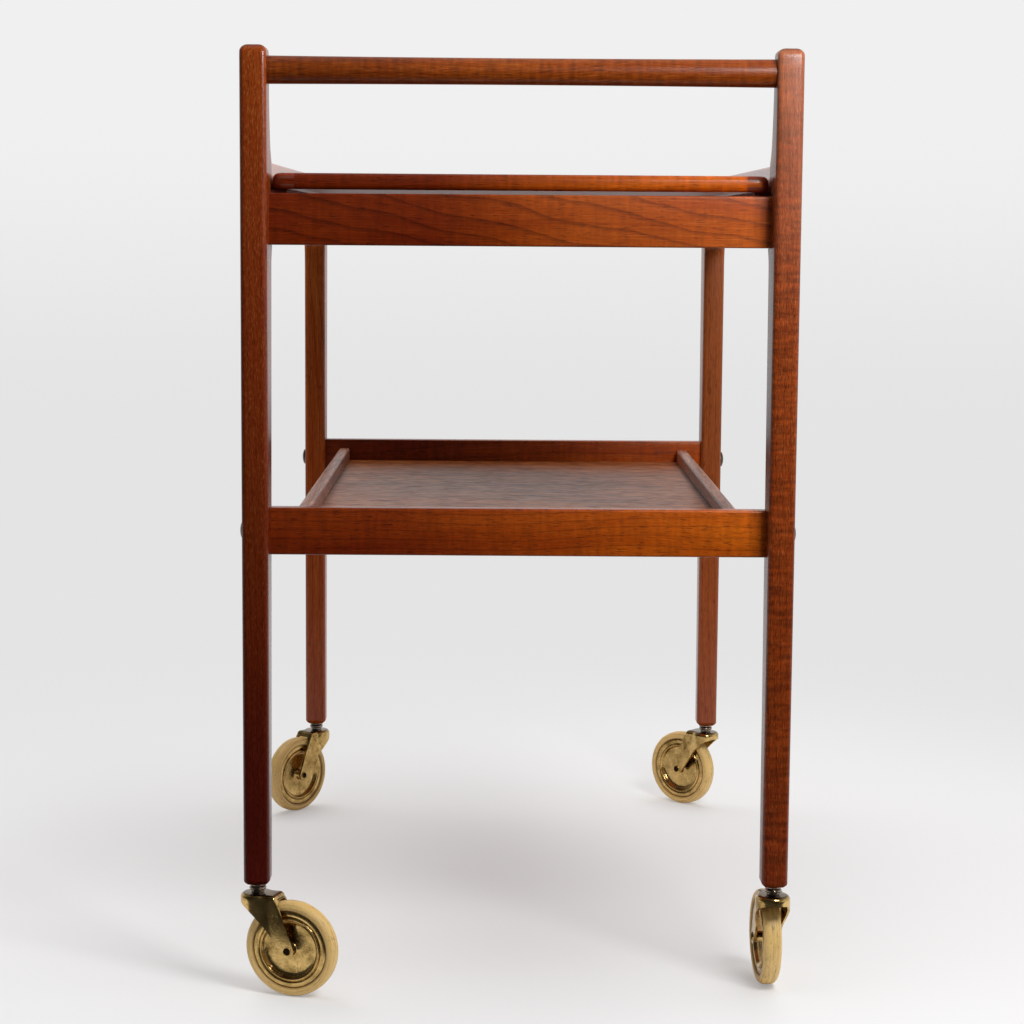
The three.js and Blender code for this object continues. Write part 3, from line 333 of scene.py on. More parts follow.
def revolve(profile, steps):
    """Turns a profile of (radius, height) points about Z."""
    bm = bmesh.new()
    points = [bm.verts.new((radius, 0.0, height)) for radius, height in profile]
    lines = [bm.edges.new(pair) for pair in zip(points, points[1:])]
    bmesh.ops.spin(
        bm, geom=points + lines, cent=(0, 0, 0), axis=(0, 0, 1), angle=math.tau, steps=steps,
        use_merge=True,
    )
    bmesh.ops.remove_doubles(bm, verts=bm.verts, dist=EXACT)
    return bm


def arc(u, v, radius, start, end, steps):
    """Points of an arc about (u, v), with its angles in degrees."""
    points = []
    for i in range(steps + 1):
        angle = math.radians(start + (end - start) * i / steps)
        points.append((u + radius * math.cos(angle), v + radius * math.sin(angle)))
    return points


def bezier(a, b, c, d, steps):
    """Points along a cubic curve from a to d."""
    points = []
    for i in range(steps + 1):
        t = i / steps
        s = 1 - t
        weights = (s**3, 3 * s * s * t, 3 * s * t * t, t**3)
        points.append(
            tuple(sum(w * p[k] for w, p in zip(weights, (a, b, c, d))) for k in (0, 1))
        )
    return points


# ------------------------------------------------------------------ materials


def add(tree, kind, inputs=(), **settings):
    """Adds a node. An input is given a value, or the output that feeds it."""
    node = tree.nodes.new(kind)
    for name, value in settings.items():
        setattr(node, name, value)
    for socket, value in dict(inputs).items():
        if isinstance(value, bpy.types.NodeSocket):
            tree.links.new(value, node.inputs[socket])
        else:
            node.inputs[socket].default_value = value
    return node


def blank(name):
    """A new material and its node tree, emptied."""
    material = bpy.data.materials.new(name)
    material.use_nodes = True
    material.node_tree.nodes.clear()
    return material, material.node_tree


def rgba(value):
    return (*value, 1.0)


# Turns object coordinates so that the fibres run along the pattern's X.
FIBRE_TURN = {"X": (0, 0, 0), "Y": (0, 0, -math.pi / 2), "Z": (0, math.pi / 2, 0)}


def teak(name, along, dark, light, seed, pith=(0.05, 0.03), tilt=0.03, ring=0.006, rings=0.5,
         thin=0.75, pores=0.5, pore_length=0.008, figure=0.0, gloss=0.24, fibre=1.0, painted_shading=None,
         end=None, ior=1.42, waver=1.5, flecks=0.0, relief=0.22, coarse=1.0):
    """Teak, planed and wiped with a satin lacquer.

    The growth rings are cylinders about a pith that lies beside the board, so they cross its
    faces as long sweeping lines. Fine fibres, short open pores and a slow change of tone lie
    over them. The lacquer gives a soft, wide gloss that fills all but the deepest pores.

    The fibres run along one axis. A seed shifts the pattern, so that no two boards are alike.
    The pith's place, the ring width and the pore length are in metres. Rings, pores, figure,
    flecks, fibre and relief are strengths, and gloss is the lacquer's mean roughness. Thin is
    where a ring's dark line begins, waver bends the rings, and coarse draws fibres and pores
    wider than life. The painted shading gives two places along the fibres, the tint of a
    painted shade at the first, which fades out towards the second, and how strongly a pale
    painted sheen lightens the wood before the second.
    """
    colours = bpy.context.scene.cart_finishes
    material, tree = blank(name)
    place = add(tree, "ShaderNodeTexCoord")
    fibres = add(tree, "ShaderNodeMapping", {
        "Vector": place.outputs["Object"], "Rotation": FIBRE_TURN[along],
        "Location": (seed * 1.37, 0, 0)})
    # Slow wander of the grain, a few millimetres over a hand's breadth.
    bend = add(tree, "ShaderNodeMapping", {"Vector": fibres.outputs[0], "Scale": (3.5, 9, 9)})
    wander = add(tree, "ShaderNodeTexNoise", {
        "Vector": bend.outputs[0], "Scale": 1.0, "Detail": 2.0})
    centred = add(tree, "ShaderNodeVectorMath", {0: wander.outputs["Color"], 1: (0.5, 0.5, 0.5)},
                  operation="SUBTRACT")
    shift = add(tree, "ShaderNodeVectorMath", {0: centred.outputs[0], 1: (0.0, 0.022, 0.022)},
                operation="MULTIPLY")
    bent = add(tree, "ShaderNodeVectorMath", {0: fibres.outputs[0], 1: shift.outputs[0]},
               operation="ADD")
    # Growth rings, counted outwards from the pith. Their late wood is a thin dark line.
    about = add(tree, "ShaderNodeMapping", {
        "Vector": bent.outputs[0], "Rotation": (0, tilt, tilt * 0.7), "Location": (0, *pith)})
    band = add(tree, "ShaderNodeTexWave", {
        "Vector": about.outputs[0], "Scale": WAVE / ring, "Distortion": waver, "Detail": 2.0,
        "Detail Scale": 0.3},
        wave_type="RINGS", rings_direction="X", wave_profile="SAW")
    edge = add(tree, "ShaderNodeMapRange", {
        "Value": band.outputs["Fac"], "From Min": thin, "From Max": 1.0, "To Max": rings},
        interpolation_type="SMOOTHERSTEP")
    # Fibres about a millimetre wide and several centimetres long.
    fine = add(tree, "ShaderNodeMapping", {
        "Vector": bent.outputs[0], "Scale": (22 * coarse, 900 / coarse, 900 / coarse)})
    strand = add(tree, "ShaderNodeTexNoise", {
        "Vector": fine.outputs[0], "Scale": 1.0, "Detail": 3.0, "Roughness": 0.65})
    # Slow change of tone from board to board and along each.
    slow = add(tree, "ShaderNodeMapping", {"Vector": bent.outputs[0], "Scale": (6, 45, 45)})
    cloud = add(tree, "ShaderNodeTexNoise", {
        "Vector": slow.outputs[0], "Scale": 1.0, "Detail": 2.0})
    blend = add(tree, "ShaderNodeMath", {
        0: strand.outputs["Fac"], 1: 0.9 * fibre, 2: -0.45 * fibre}, operation="MULTIPLY_ADD")
    drift = add(tree, "ShaderNodeMath", {0: cloud.outputs["Fac"], 1: 1.3, 2: -0.15},
                operation="MULTIPLY_ADD")
    both = add(tree, "ShaderNodeMath", {0: blend.outputs[0], 1: drift.outputs[0]}, operation="ADD",
               use_clamp=True)
    tone = add(tree, "ShaderNodeMix", {0: both.outputs[0], 6: rgba(dark), 7: rgba(light)},
               data_type="RGBA")
    ringed = add(tree, "ShaderNodeMix", {
        0: edge.outputs[0], 6: tone.outputs[2], 7: rgba(colours.teak_line)}, data_type="RGBA")
    # Pores are 0.2 mm wide in life; they are drawn about three times that so that they show.
    open_pore = add(tree, "ShaderNodeMapping", {
        "Vector": bent.outputs[0], "Scale": (1 / pore_length, 1500 / coarse, 1500 / coarse)})
    speck = add(tree, "ShaderNodeTexNoise", {
        "Vector": open_pore.outputs[0], "Scale": 1.0, "Detail": 1.0, "Roughness": 0.5})
    pore = add(tree, "ShaderNodeMapRange", {
        "Value": speck.outputs["Fac"], "From Min": 0.57, "From Max": 0.72, "To Max": pores})
    pored = add(tree, "ShaderNodeMix", {
        0: pore.outputs[0], 6: ringed.outputs[2], 7: rgba(colours.teak_pore)}, data_type="RGBA")
    # Between the pores lie pale flecks, drawn as coarse as the pores.
    fleck = add(tree, "ShaderNodeMapRange", {
        "Value": speck.outputs["Fac"], "From Min": 0.45, "From Max": 0.30, "To Max": flecks})
    flecked = add(tree, "ShaderNodeMix", {
        0: fleck.outputs[0], 6: pored.outputs[2], 7: rgba(colours.teak_fleck)}, data_type="RGBA")
    # Ribbon figure: bright ripples about 4 mm apart, which lie across the fibres.
    ripple_place = add(tree, "ShaderNodeMapping", {
        "Vector": bent.outputs[0], "Scale": (240, 50, 50)})
    ripple = add(tree, "ShaderNodeTexNoise", {
        "Vector": ripple_place.outputs[0], "Scale": 1.0, "Detail": 2.0, "Roughness": 0.6})
    shimmer = add(tree, "ShaderNodeMapRange", {
        "Value": ripple.outputs["Fac"], "From Min": 0.35, "From Max": 0.7, "To Min": 1.0 - figure,
        "To Max": 1.0 + figure})
    figured = add(tree, "ShaderNodeVectorMath", {
        0: flecked.outputs[2], "Scale": shimmer.outputs[0]}, operation="SCALE")
    surface_colour = figured.outputs[0]
    if painted_shading:
        # Painted shade darkens one end of a piece, and a patchy painted sheen lightens the last 22
        # cm of the other.
        low, high, foot, painted_sheen = painted_shading
        height = add(tree, "ShaderNodeSeparateXYZ", {0: place.outputs["Object"]})
        rise = add(tree, "ShaderNodeMapRange", {
            "Value": height.outputs[along], "From Min": low, "From Max": high})
        painted_shade = add(tree, "ShaderNodeMix", {0: rise.outputs[0], 6: (*foot, 1), 7: (1, 1, 1, 1)},
                  data_type="RGBA")
        shaded = add(tree, "ShaderNodeVectorMath", {0: surface_colour, 1: painted_shade.outputs[2]},
                      operation="MULTIPLY")
        sheen_rise = add(tree, "ShaderNodeMapRange", {
            "Value": height.outputs[along], "From Min": high - 0.22, "From Max": high,
            "To Max": painted_sheen}, interpolation_type="SMOOTHSTEP")
        patchy_sheen = add(tree, "ShaderNodeMath", {0: sheen_rise.outputs[0], 1: cloud.outputs["Fac"]},
                     operation="MULTIPLY")
        surface_colour = add(tree, "ShaderNodeMix", {
            0: patchy_sheen.outputs[0], 6: shaded.outputs[0], 7: rgba(colours.teak_pale_and_sheen)},
            data_type="RGBA").outputs[2]
    # End grain drinks the lacquer and turns darker.
    axis = [0.0, 0.0, 0.0]
    axis[AXES[along]] = 1.0
    facing = add(tree, "ShaderNodeVectorMath", {0: place.outputs["Normal"], 1: axis},
                 operation="DOT_PRODUCT")
    endness = add(tree, "ShaderNodeMath", {0: facing.outputs["Value"]}, operation="ABSOLUTE")
    cross = add(tree, "ShaderNodeMapRange", {
        "Value": endness.outputs[0], "From Min": 0.6, "From Max": 0.95,
        "To Max": 0.7 if end else 0.5}, interpolation_type="SMOOTHSTEP")
    ended = add(tree, "ShaderNodeMix", {
        0: cross.outputs[0], 6: surface_colour, 7: rgba(end or colours.teak_pore)},
        data_type="RGBA")
    # Fibres and pores stand a few hundredths of a millimetre in and out.
    ridges = add(tree, "ShaderNodeMath", {0: pore.outputs[0], 1: -1.2, 2: strand.outputs["Fac"]},
                 operation="MULTIPLY_ADD")
    bump = add(tree, "ShaderNodeBump", {
        "Strength": relief, "Distance": 0.00025 * coarse, "Height": ridges.outputs[0]})
    rough = add(tree, "ShaderNodeMapRange", {
        "Value": strand.outputs["Fac"], "To Min": gloss - 0.04, "To Max": gloss + 0.08})
    surface = add(tree, "ShaderNodeBsdfPrincipled", {
        "Base Color": ended.outputs[2], "Roughness": rough.outputs[0], "IOR": ior,
        "Normal": bump.outputs[0]})
    add(tree, "ShaderNodeOutputMaterial", {"Surface": surface.outputs[0]})
    return material


def brass(name, bright, dull, tarnish=0.5, pits=0.3, roughness=0.22, top=0.0, top_colour=None):
    """Pressed brass, lacquer long gone: polished where it is handled, with clouds of brown
    tarnish, dark pits half a millimetre wide and fine scratches. Its tops are a darker brown."""
    colours = bpy.context.scene.cart_finishes
    material, tree = blank(name)
    place = add(tree, "ShaderNodeTexCoord")
    # Clouds of tarnish about a centimetre across.
    cloud = add(tree, "ShaderNodeTexNoise", {
        "Vector": place.outputs["Object"], "Scale": 90.0, "Detail": 4.0, "Roughness": 0.6})
    patch = add(tree, "ShaderNodeMapRange", {
        "Value": cloud.outputs["Fac"], "From Min": 0.40, "From Max": 0.68})
    tone = add(tree, "ShaderNodeMix", {0: patch.outputs[0], 6: rgba(bright), 7: rgba(dull)},
               data_type="RGBA")
    # Dark blooms a few millimetres across.
    bloom = add(tree, "ShaderNodeTexNoise", {
        "Vector": place.outputs["Object"], "Scale": 240.0, "Detail": 3.0, "Roughness": 0.7})
    stain = add(tree, "ShaderNodeMapRange", {
        "Value": bloom.outputs["Fac"], "From Min": 0.54, "From Max": 0.72, "To Max": tarnish})
    # Pits and the specks round them.
    grains = add(tree, "ShaderNodeTexNoise", {
        "Vector": place.outputs["Object"], "Scale": 1300.0, "Detail": 2.0, "Roughness": 0.6})
    pit = add(tree, "ShaderNodeMapRange", {
        "Value": grains.outputs["Fac"], "From Min": 0.56, "From Max": 0.66, "To Max": pits})
    # Upward faces are painted a darker brown.
    facing = add(tree, "ShaderNodeSeparateXYZ", {0: place.outputs["Normal"]})
    darker_tops = add(tree, "ShaderNodeMapRange", {
        "Value": facing.outputs["Z"], "From Min": 0.72, "From Max": 0.95, "To Max": top},
        interpolation_type="SMOOTHSTEP")
    dirt = add(tree, "ShaderNodeMath", {0: stain.outputs[0], 1: pit.outputs[0]},
               operation="MAXIMUM")
    topped = add(tree, "ShaderNodeMix", {
        0: darker_tops.outputs[0], 6: tone.outputs[2], 7: rgba(top_colour or colours.brass_brown)},
        data_type="RGBA")
    stained = add(tree, "ShaderNodeMix", {
        0: dirt.outputs[0], 6: topped.outputs[2], 7: rgba(colours.brass_dark)}, data_type="RGBA")
    rough = add(tree, "ShaderNodeMapRange", {
        "Value": dirt.outputs[0], "To Min": roughness, "To Max": roughness + 0.35})
    # Hair scratches, two or three to the millimetre.
    drawn = add(tree, "ShaderNodeMapping", {
        "Vector": place.outputs["Object"], "Rotation": (0.3, 0.5, 0.2), "Scale": (120, 2400, 700)})
    scratch = add(tree, "ShaderNodeTexNoise", {
        "Vector": drawn.outputs[0], "Scale": 1.0, "Detail": 2.0, "Roughness": 0.6})
    marks = add(tree, "ShaderNodeMath", {0: pit.outputs[0], 1: -1.5, 2: scratch.outputs["Fac"]},
                operation="MULTIPLY_ADD")
    bump = add(tree, "ShaderNodeBump", {
        "Strength": 0.30, "Distance": 0.00012, "Height": marks.outputs[0]})
    surface = add(tree, "ShaderNodeBsdfPrincipled", {
        "Base Color": stained.outputs[2], "Metallic": 1.0, "Roughness": rough.outputs[0],
        "Normal": bump.outputs[0]})
    add(tree, "ShaderNodeOutputMaterial", {"Surface": surface.outputs[0]})
    return material


def turned_steel(name, bright, roughness):
    """Steel turned on a lathe: faint ring marks, and brown-black dirt that clouds the gloss."""
    colours = bpy.context.scene.cart_finishes
    material, tree = blank(name)
    place = add(tree, "ShaderNodeTexCoord")
    cloud = add(tree, "ShaderNodeTexNoise", {
        "Vector": place.outputs["Object"], "Scale": 320.0, "Detail": 4.0, "Roughness": 0.65})
    dirt = add(tree, "ShaderNodeMapRange", {
        "Value": cloud.outputs["Fac"], "From Min": 0.56, "From Max": 0.85})
    tone = add(tree, "ShaderNodeMix", {
        0: dirt.outputs[0], 6: rgba(bright), 7: rgba(colours.brass_dark)}, data_type="RGBA")
    rough = add(tree, "ShaderNodeMapRange", {
        "Value": cloud.outputs["Fac"], "To Min": roughness - 0.05, "To Max": roughness + 0.10})
    # Turning marks 0.4 mm apart, up the lathe's axis.
    rings = add(tree, "ShaderNodeTexWave", {
        "Vector": place.outputs["Object"], "Scale": WAVE / 0.0004, "Distortion": 1.0},
        wave_type="BANDS", bands_direction="Z")
    bump = add(tree, "ShaderNodeBump", {
        "Strength": 0.15, "Distance": 0.0001, "Height": rings.outputs["Fac"]})
    surface = add(tree, "ShaderNodeBsdfPrincipled", {
        "Base Color": tone.outputs[2], "Metallic": 1.0, "Roughness": rough.outputs[0],
        "Normal": bump.outputs[0]})
    add(tree, "ShaderNodeOutputMaterial", {"Surface": surface.outputs[0]})
    return material


def hole_shade(name):
    """Painted shade that stands for the dark of a hollow: black-brown, almost without gloss."""
    colours = bpy.context.scene.cart_finishes
    material, tree = blank(name)
    place = add(tree, "ShaderNodeTexCoord")
    mottle = add(tree, "ShaderNodeTexNoise", {
        "Vector": place.outputs["Object"], "Scale": 1500.0, "Detail": 3.0})
    tone = add(tree, "ShaderNodeMix", {
        0: mottle.outputs["Fac"], 6: (0.002, 0.0015, 0.001, 1), 7: rgba(colours.brass_dark)},
        data_type="RGBA")
    bump = add(tree, "ShaderNodeBump", {"Distance": 0.0002, "Height": mottle.outputs["Fac"]})
    surface = add(tree, "ShaderNodeBsdfPrincipled", {
        "Base Color": tone.outputs[2], "Roughness": 0.8, "IOR": 1.15, "Normal": bump.outputs[0]})
    add(tree, "ShaderNodeOutputMaterial", {"Surface": surface.outputs[0]})
    return material


def cream_rubber(name):
    """Moulded cream rubber, yellowed with age: a waxy gloss, grime that runs round the tyre in
    bands, grit in the tread and short cracks across the walls."""
    colours = bpy.context.scene.cart_finishes
    material, tree = blank(name)
    place = add(tree, "ShaderNodeTexCoord")
    wheel = add(tree, "ShaderNodeAttribute", attribute_name="wheel")
    # Soil lies in bands 1 to 2 mm wide that run some 20 mm round the tyre, so its pattern is
    # drawn out along the tread.
    flat = add(tree, "ShaderNodeVectorMath", {0: wheel.outputs["Vector"], 1: (1, 1, 0)},
               operation="MULTIPLY")
    radius = add(tree, "ShaderNodeVectorMath", {0: flat.outputs[0]}, operation="LENGTH")
    around = add(tree, "ShaderNodeVectorMath", {0: flat.outputs[0], "Scale": 14.0},
                 operation="SCALE")
    across = add(tree, "ShaderNodeSeparateXYZ", {0: wheel.outputs["Vector"]})
    lift = add(tree, "ShaderNodeMath", {
        0: radius.outputs["Value"], 1: 2.3, 2: across.outputs["Z"]}, operation="MULTIPLY_ADD")
    along = add(tree, "ShaderNodeMath", {0: lift.outputs[0], 1: 160.0}, operation="MULTIPLY")
    rise = add(tree, "ShaderNodeCombineXYZ", {"Z": along.outputs[0]})
    banded = add(tree, "ShaderNodeVectorMath", {0: around.outputs[0], 1: rise.outputs[0]},
                 operation="ADD")
    cloud = add(tree, "ShaderNodeTexNoise", {
        "Vector": banded.outputs[0], "Scale": 3.5, "Detail": 4.0, "Roughness": 0.6})
    dirt = add(tree, "ShaderNodeMapRange", {
        "Value": cloud.outputs["Fac"], "From Min": 0.46, "From Max": 0.85, "To Max": 0.6})
    # The tyre is darker towards where it meets the hub.
    seat = add(tree, "ShaderNodeMapRange", {
        "Value": radius.outputs["Value"], "From Min": 0.0320, "From Max": 0.0300, "To Max": 0.6},
        interpolation_type="SMOOTHSTEP")
    grime = add(tree, "ShaderNodeMath", {0: dirt.outputs[0], 1: seat.outputs[0]},
                operation="MAXIMUM")
    tone = add(tree, "ShaderNodeMix", {
        0: grime.outputs[0], 6: rgba(colours.rubber), 7: rgba(colours.rubber_grime)},
        data_type="RGBA")
    # Grit pressed into the tread, specks under a millimetre.
    grains = add(tree, "ShaderNodeTexNoise", {
        "Vector": place.outputs["Object"], "Scale": 900.0, "Detail": 3.0, "Roughness": 0.6})
    speck = add(tree, "ShaderNodeMapRange", {
        "Value": grains.outputs["Fac"], "From Min": 0.60, "From Max": 0.70, "To Max": 0.6})
    # Cracks several millimetres long, where the rubber has dried.
    cracks = add(tree, "ShaderNodeTexVoronoi", {
        "Vector": place.outputs["Object"], "Scale": 110.0, "Randomness": 1.0},
        feature="DISTANCE_TO_EDGE")
    line = add(tree, "ShaderNodeMapRange", {
        "Value": cracks.outputs["Distance"], "From Min": 0.035, "From Max": 0.0, "To Max": 0.7})
    broken = add(tree, "ShaderNodeMapRange", {
        "Value": cloud.outputs["Fac"], "From Min": 0.50, "From Max": 0.62})
    crack = add(tree, "ShaderNodeMath", {0: line.outputs[0], 1: broken.outputs[0]},
                operation="MULTIPLY")
    marks = add(tree, "ShaderNodeMath", {0: speck.outputs[0], 1: crack.outputs[0]},
                operation="MAXIMUM")
    gritty = add(tree, "ShaderNodeMix", {
        0: marks.outputs[0], 6: tone.outputs[2], 7: rgba(colours.rubber_grime)}, data_type="RGBA")
    rough = add(tree, "ShaderNodeMapRange", {
        "Value": cloud.outputs["Fac"], "To Min": 0.32, "To Max": 0.60})
    height = add(tree, "ShaderNodeMath", {0: marks.outputs[0], 1: -1.0, 2: grains.outputs["Fac"]},
                 operation="MULTIPLY_ADD")
    bump = add(tree, "ShaderNodeBump", {
        "Strength": 0.3, "Distance": 0.0003, "Height": height.outputs[0]})
    surface = add(tree, "ShaderNodeBsdfPrincipled", {
        "Base Color": gritty.outputs[2], "Roughness": rough.outputs[0], "IOR": 1.52,
        "Normal": bump.outputs[0]})
    add(tree, "ShaderNodeOutputMaterial", {"Surface": surface.outputs[0]})
    return material


# ------------------------------------------------------------------ legs


def far_face(sizes):
    """Where the inner faces of the far legs stand."""
    return span("apron_far")[0].y - sizes.far_setback


def near_leg_outline(sizes, low, high, joint, under, over):
    """Side view of a near leg, as (y, z) points from under the foot's front corner.

    The side rail's end meets the leg at joint, between the heights under and over."""
    face, foot, top = low.y, low.z, high.z
    depth = joint - face
    slim = sizes.leg_handle_depth
    crown = sizes.leg_top
    # The hollow over the rail ends four fifths of the way up to the top.
    shoulder = over + (top - over) * 0.80
    taper = (depth - sizes.leg_foot_depth) / (under - foot)
    at_flare = depth - sizes.leg_flare_height * taper
    # The board runs on below the foot, which is sawn level afterwards.
    below = foot - sizes.foot_chamfer * 3
    points = [(face, below), (face + sizes.leg_foot_depth - (foot - below) * taper, below)]
    points += bezier(
        (face + at_flare, under - sizes.leg_flare_height),
        (face + at_flare + 0.0004, under - sizes.leg_flare_height * 0.45),
        (face + depth, under - 0.003),
        (face + depth + sizes.leg_flare, under - HAIR),
        7,
    )
    points += [(face + depth, under - HAIR), (face + depth, over)]
    points += bezier(
        (face + depth, over + HAIR / 2),
        (face + slim + (depth - slim) * 0.50, over + (shoulder - over) * 0.18),
        (face + slim + (depth - slim) * 0.12, over + (shoulder - over) * 0.50),
        (face + slim, shoulder),
        12,
    )
    points += arc(face + slim - crown, top - crown, crown, 0, 90, 6)
    points += arc(face + crown, top - crown, crown, 90, 180, 6)
    return points


def far_leg_outline(sizes, face, low, high, under):
    """Side view of a far leg. It stops level with the side rail, whose underside is at under."""
    foot, top = low.z, high.z
    depth = high.y - face
    crown = sizes.leg_top
    taper = (depth - sizes.leg_foot_depth) / (under - foot)
    below = foot - sizes.foot_chamfer * 3
    points = [(face, below), (face + sizes.leg_foot_depth - (foot - below) * taper, below)]
    points.append((face + depth, under))
    points += arc(face + depth - crown, top - crown, crown, 0, 90, 6)
    points += [(face, top), (face, under - HAIR)]
    points += bezier(
        (face - sizes.leg_flare, under - HAIR),
        (face, under - 0.003),
        (face, under - sizes.leg_flare_height * 0.45),
        (face, under - sizes.leg_flare_height),
        7,
    )
    return points


def sawn_board(outline, x0, x1, radius, joint_y, joint_low, joint_high):
    """Saws an outline from a board and rounds its edges, less towards the glued joint.

    The board is drawn up in layers from x0 to x1, and each layer is the outline pulled inwards
    as far as the rounding asks."""
    points = [Vector((0, y, z)) for y, z in outline]
    pulls = []
    for i, point in enumerate(points):
        before = (point - points[i - 1]).normalized()
        after = (points[(i + 1) % len(points)] - point).normalized()
        inward = Vector((1, 0, 0)).cross(before + after).normalized()
        mitre = 1 / max(0.5, inward.dot(Vector((1, 0, 0)).cross(before)))
        above = max(0.0, joint_low - point.z, point.z - joint_high)
        away = min(1.0, math.hypot(point.y - joint_y, above) / FADE)
        pulls.append(inward * mitre * radius * away * away * (3 - 2 * away))
    steps = 6
    rises = [math.radians(90 * i / steps) for i in range(steps + 1)]
    rounds = [(1 - math.cos(a), 1 - math.sin(a)) for a in rises]
    layers = [(x0 + radius * u, v) for u, v in rounds]
    layers += [(x1 - radius * u, v) for u, v in reversed(rounds)]
    bm = bmesh.new()
    loop = [bm.verts.new(p + q + Vector((x0, 0, 0))) for p, q in zip(points, pulls)]
    side = bm.faces.new(loop)
    for x, inset in layers[1:]:
        made = bmesh.ops.extrude_face_region(bm, geom=[side])["geom"]
        side = next(item for item in made if isinstance(item, bmesh.types.BMFace))
        over = {vert.co.to_tuple(): vert for vert in side.verts}
        loop = [over[vert.co.to_tuple()] for vert in loop]
        for vert, point, pull in zip(loop, points, pulls):
            vert.co = point + pull * inset + Vector((x, 0, 0))
    clear_inside(bm)
    bmesh.ops.recalc_face_normals(bm, faces=bm.faces)
    cross_cut(bm, 2)
    return bm


def finish_foot(bm, low, high, foot, deep, chamfer):
    """Saws a leg level at its foot and planes the foot's four edges off at 45 degrees."""
    for y, back in ((low.y, -1), (deep, 1)):
        cut(bm, (0, y, foot + chamfer), Vector((0, back, -1)))
    for x, side in ((low.x, -1), (high.x, 1)):
        cut(bm, (x, 0, foot + chamfer), Vector((side, 0, -1)))
    cut(bm, *plane(2, foot, -1))


def round_crown(bm, middle, half, top, radius):
    """Draws the sides of a leg's top in, so that it is rounded across as well as along."""
    # The rounding across is flatter than a quarter circle.
    flatness = 0.62
    for i in range(1, 6):
        score(bm, *plane(2, top - radius * (1 - math.sin(i * math.pi / 12))))
    for vert in bm.verts:
        rise = min(1.0, max(0.0, (vert.co.z - (top - radius)) / radius))
        inset = radius * (1 - math.sqrt(1 - rise * rise)) * flatness
        vert.co.x = middle + (vert.co.x - middle) * (1 - inset / half)


class CART_OT_add_legs(bpy.types.Operator):
    """Saws the four legs, rounds their edges and gives each its own piece of teak"""

    bl_idname = "cart.add_legs"
    bl_label = "Legs"

    def execute(self, context):
        sizes = context.scene.cart_sizes
        colours = context.scene.cart_finishes
        # The last entry of each look is its painted shading: a painted shade that deepens towards
        # the foot and, on the right-hand legs, a pale painted sheen near the top.
        grain = {
            "near_left": (colours.teak_red, colours.teak_russet, 1.0, dict(
                pith=(0.31, 0.17), ring=0.0045, rings=0.35, pores=0.50, pore_length=0.004,
                flecks=0.28, gloss=0.22, painted_shading=(0.150, 0.719, (0.28, 0.09, 0.10), 0.0))),
            "near_right": (colours.teak_rose, colours.teak_russet, 2.0, dict(
                pith=(0.36, -0.24), ring=0.005, rings=0.35, pores=0.60, pore_length=0.004,
                flecks=0.25, figure=0.32, gloss=0.26,
                painted_shading=(0.086, 0.719, (0.75, 0.58, 0.50), 0.45))),
            "far_left": (colours.teak_amber, colours.teak_straw, 3.0, dict(
                pith=(-0.25, 0.20), rings=0.35, painted_shading=(0.086, 0.690, (0.72, 0.55, 0.7), 0.0))),
            "far_right": (colours.teak_dun, colours.teak_sand, 4.0, dict(
                pith=(-0.25, -0.26), rings=0.30, flecks=0.1,
                painted_shading=(0.086, 0.690, (0.7, 0.55, 0.6), 0.2))),
        }
        for corner in CORNERS:
            node = f"leg_{corner}"
            low, high = span(node)
            end, side = corner.split("_")
            rail_low, rail_high = span(f"side_rail_{side}")
            under, over = rail_low.z, rail_high.z
            if end == "near":
                face = low.y
                joint = face + sizes.leg_rail_depth
                outline = near_leg_outline(sizes, low, high, joint, under, over)
            else:
                face = far_face(sizes)
                joint = face
                outline = far_leg_outline(sizes, face, low, high, under)
            bm = sawn_board(outline, low.x, high.x, sizes.leg_edge, joint,
                            under + sizes.rail_edge, over - sizes.rail_edge)
            low.y = face
            finish_foot(bm, low, high, low.z, face + sizes.leg_foot_depth, sizes.foot_chamfer)
            if end == "near":
                round_crown(bm, (low.x + high.x) / 2, (high.x - low.x) / 2, high.z,
                            sizes.leg_crown)
            dark, light, seed, look = grain[corner]
            wood = teak(f"Lacquered teak, {end} {side} leg", "Z", dark, light, seed, **look)
            publish(bm, f"{node}_board", "frame", wood, [node], "teak_leg", 35)
        return {"FINISHED"}


# ------------------------------------------------------------------ top frame and handle


class CART_OT_add_top_frame(bpy.types.Operator):
    """Planes the side rails, the aprons and the battens that carry the tray"""

    bl_idname = "cart.add_top_frame"
    bl_label = "Top frame"

    def execute(self, context):
        sizes = context.scene.cart_sizes
        colours = context.scene.cart_finishes
        for number, side in enumerate(SIDES):
            wood = teak(
                f"Lacquered teak, {side} side rail", "Y", colours.teak_brown, colours.teak_gold,
                5.0 + number, pith=(0.14, 0.66), ring=0.007, rings=0.45, tilt=0.05, gloss=0.14,
                relief=0.05, ior=1.5)
            plank(f"side_rail_{side}", "board", "Y", sizes.rail_edge, wood, "teak_rail",
                  sizes.rail_tenon)
            wood = teak(
                f"Plain teak, {side} batten", "Y", colours.teak_red, colours.teak_brown,
                7.0 + number, ring=0.005, rings=0.3, gloss=0.5)
            plank(f"batten_{side}", "strip", "Y", sizes.batten_edge, wood, "teak_batten",
                  segments=2)
        for number, end in enumerate(ENDS):
            # Painted shade darkens each apron towards its left end, and a little painted sheen
            # lightens its right end.
            wood = teak(
                f"Lacquered teak, {end} apron", "X", colours.teak_brown, colours.teak_honey,
                9.0 + number, pith=(0.36, -0.74), ring=0.0105, rings=0.42, thin=0.66, tilt=-0.12,
                figure=0.12, waver=7.0, relief=0.08, painted_shading=(-0.05, 0.2, (0.31, 0.17, 0.12), 0.12))
            plank(f"apron_{end}", "board", "X", sizes.board_edge, wood, "teak_apron", sizes.tenon)
        return {"FINISHED"}


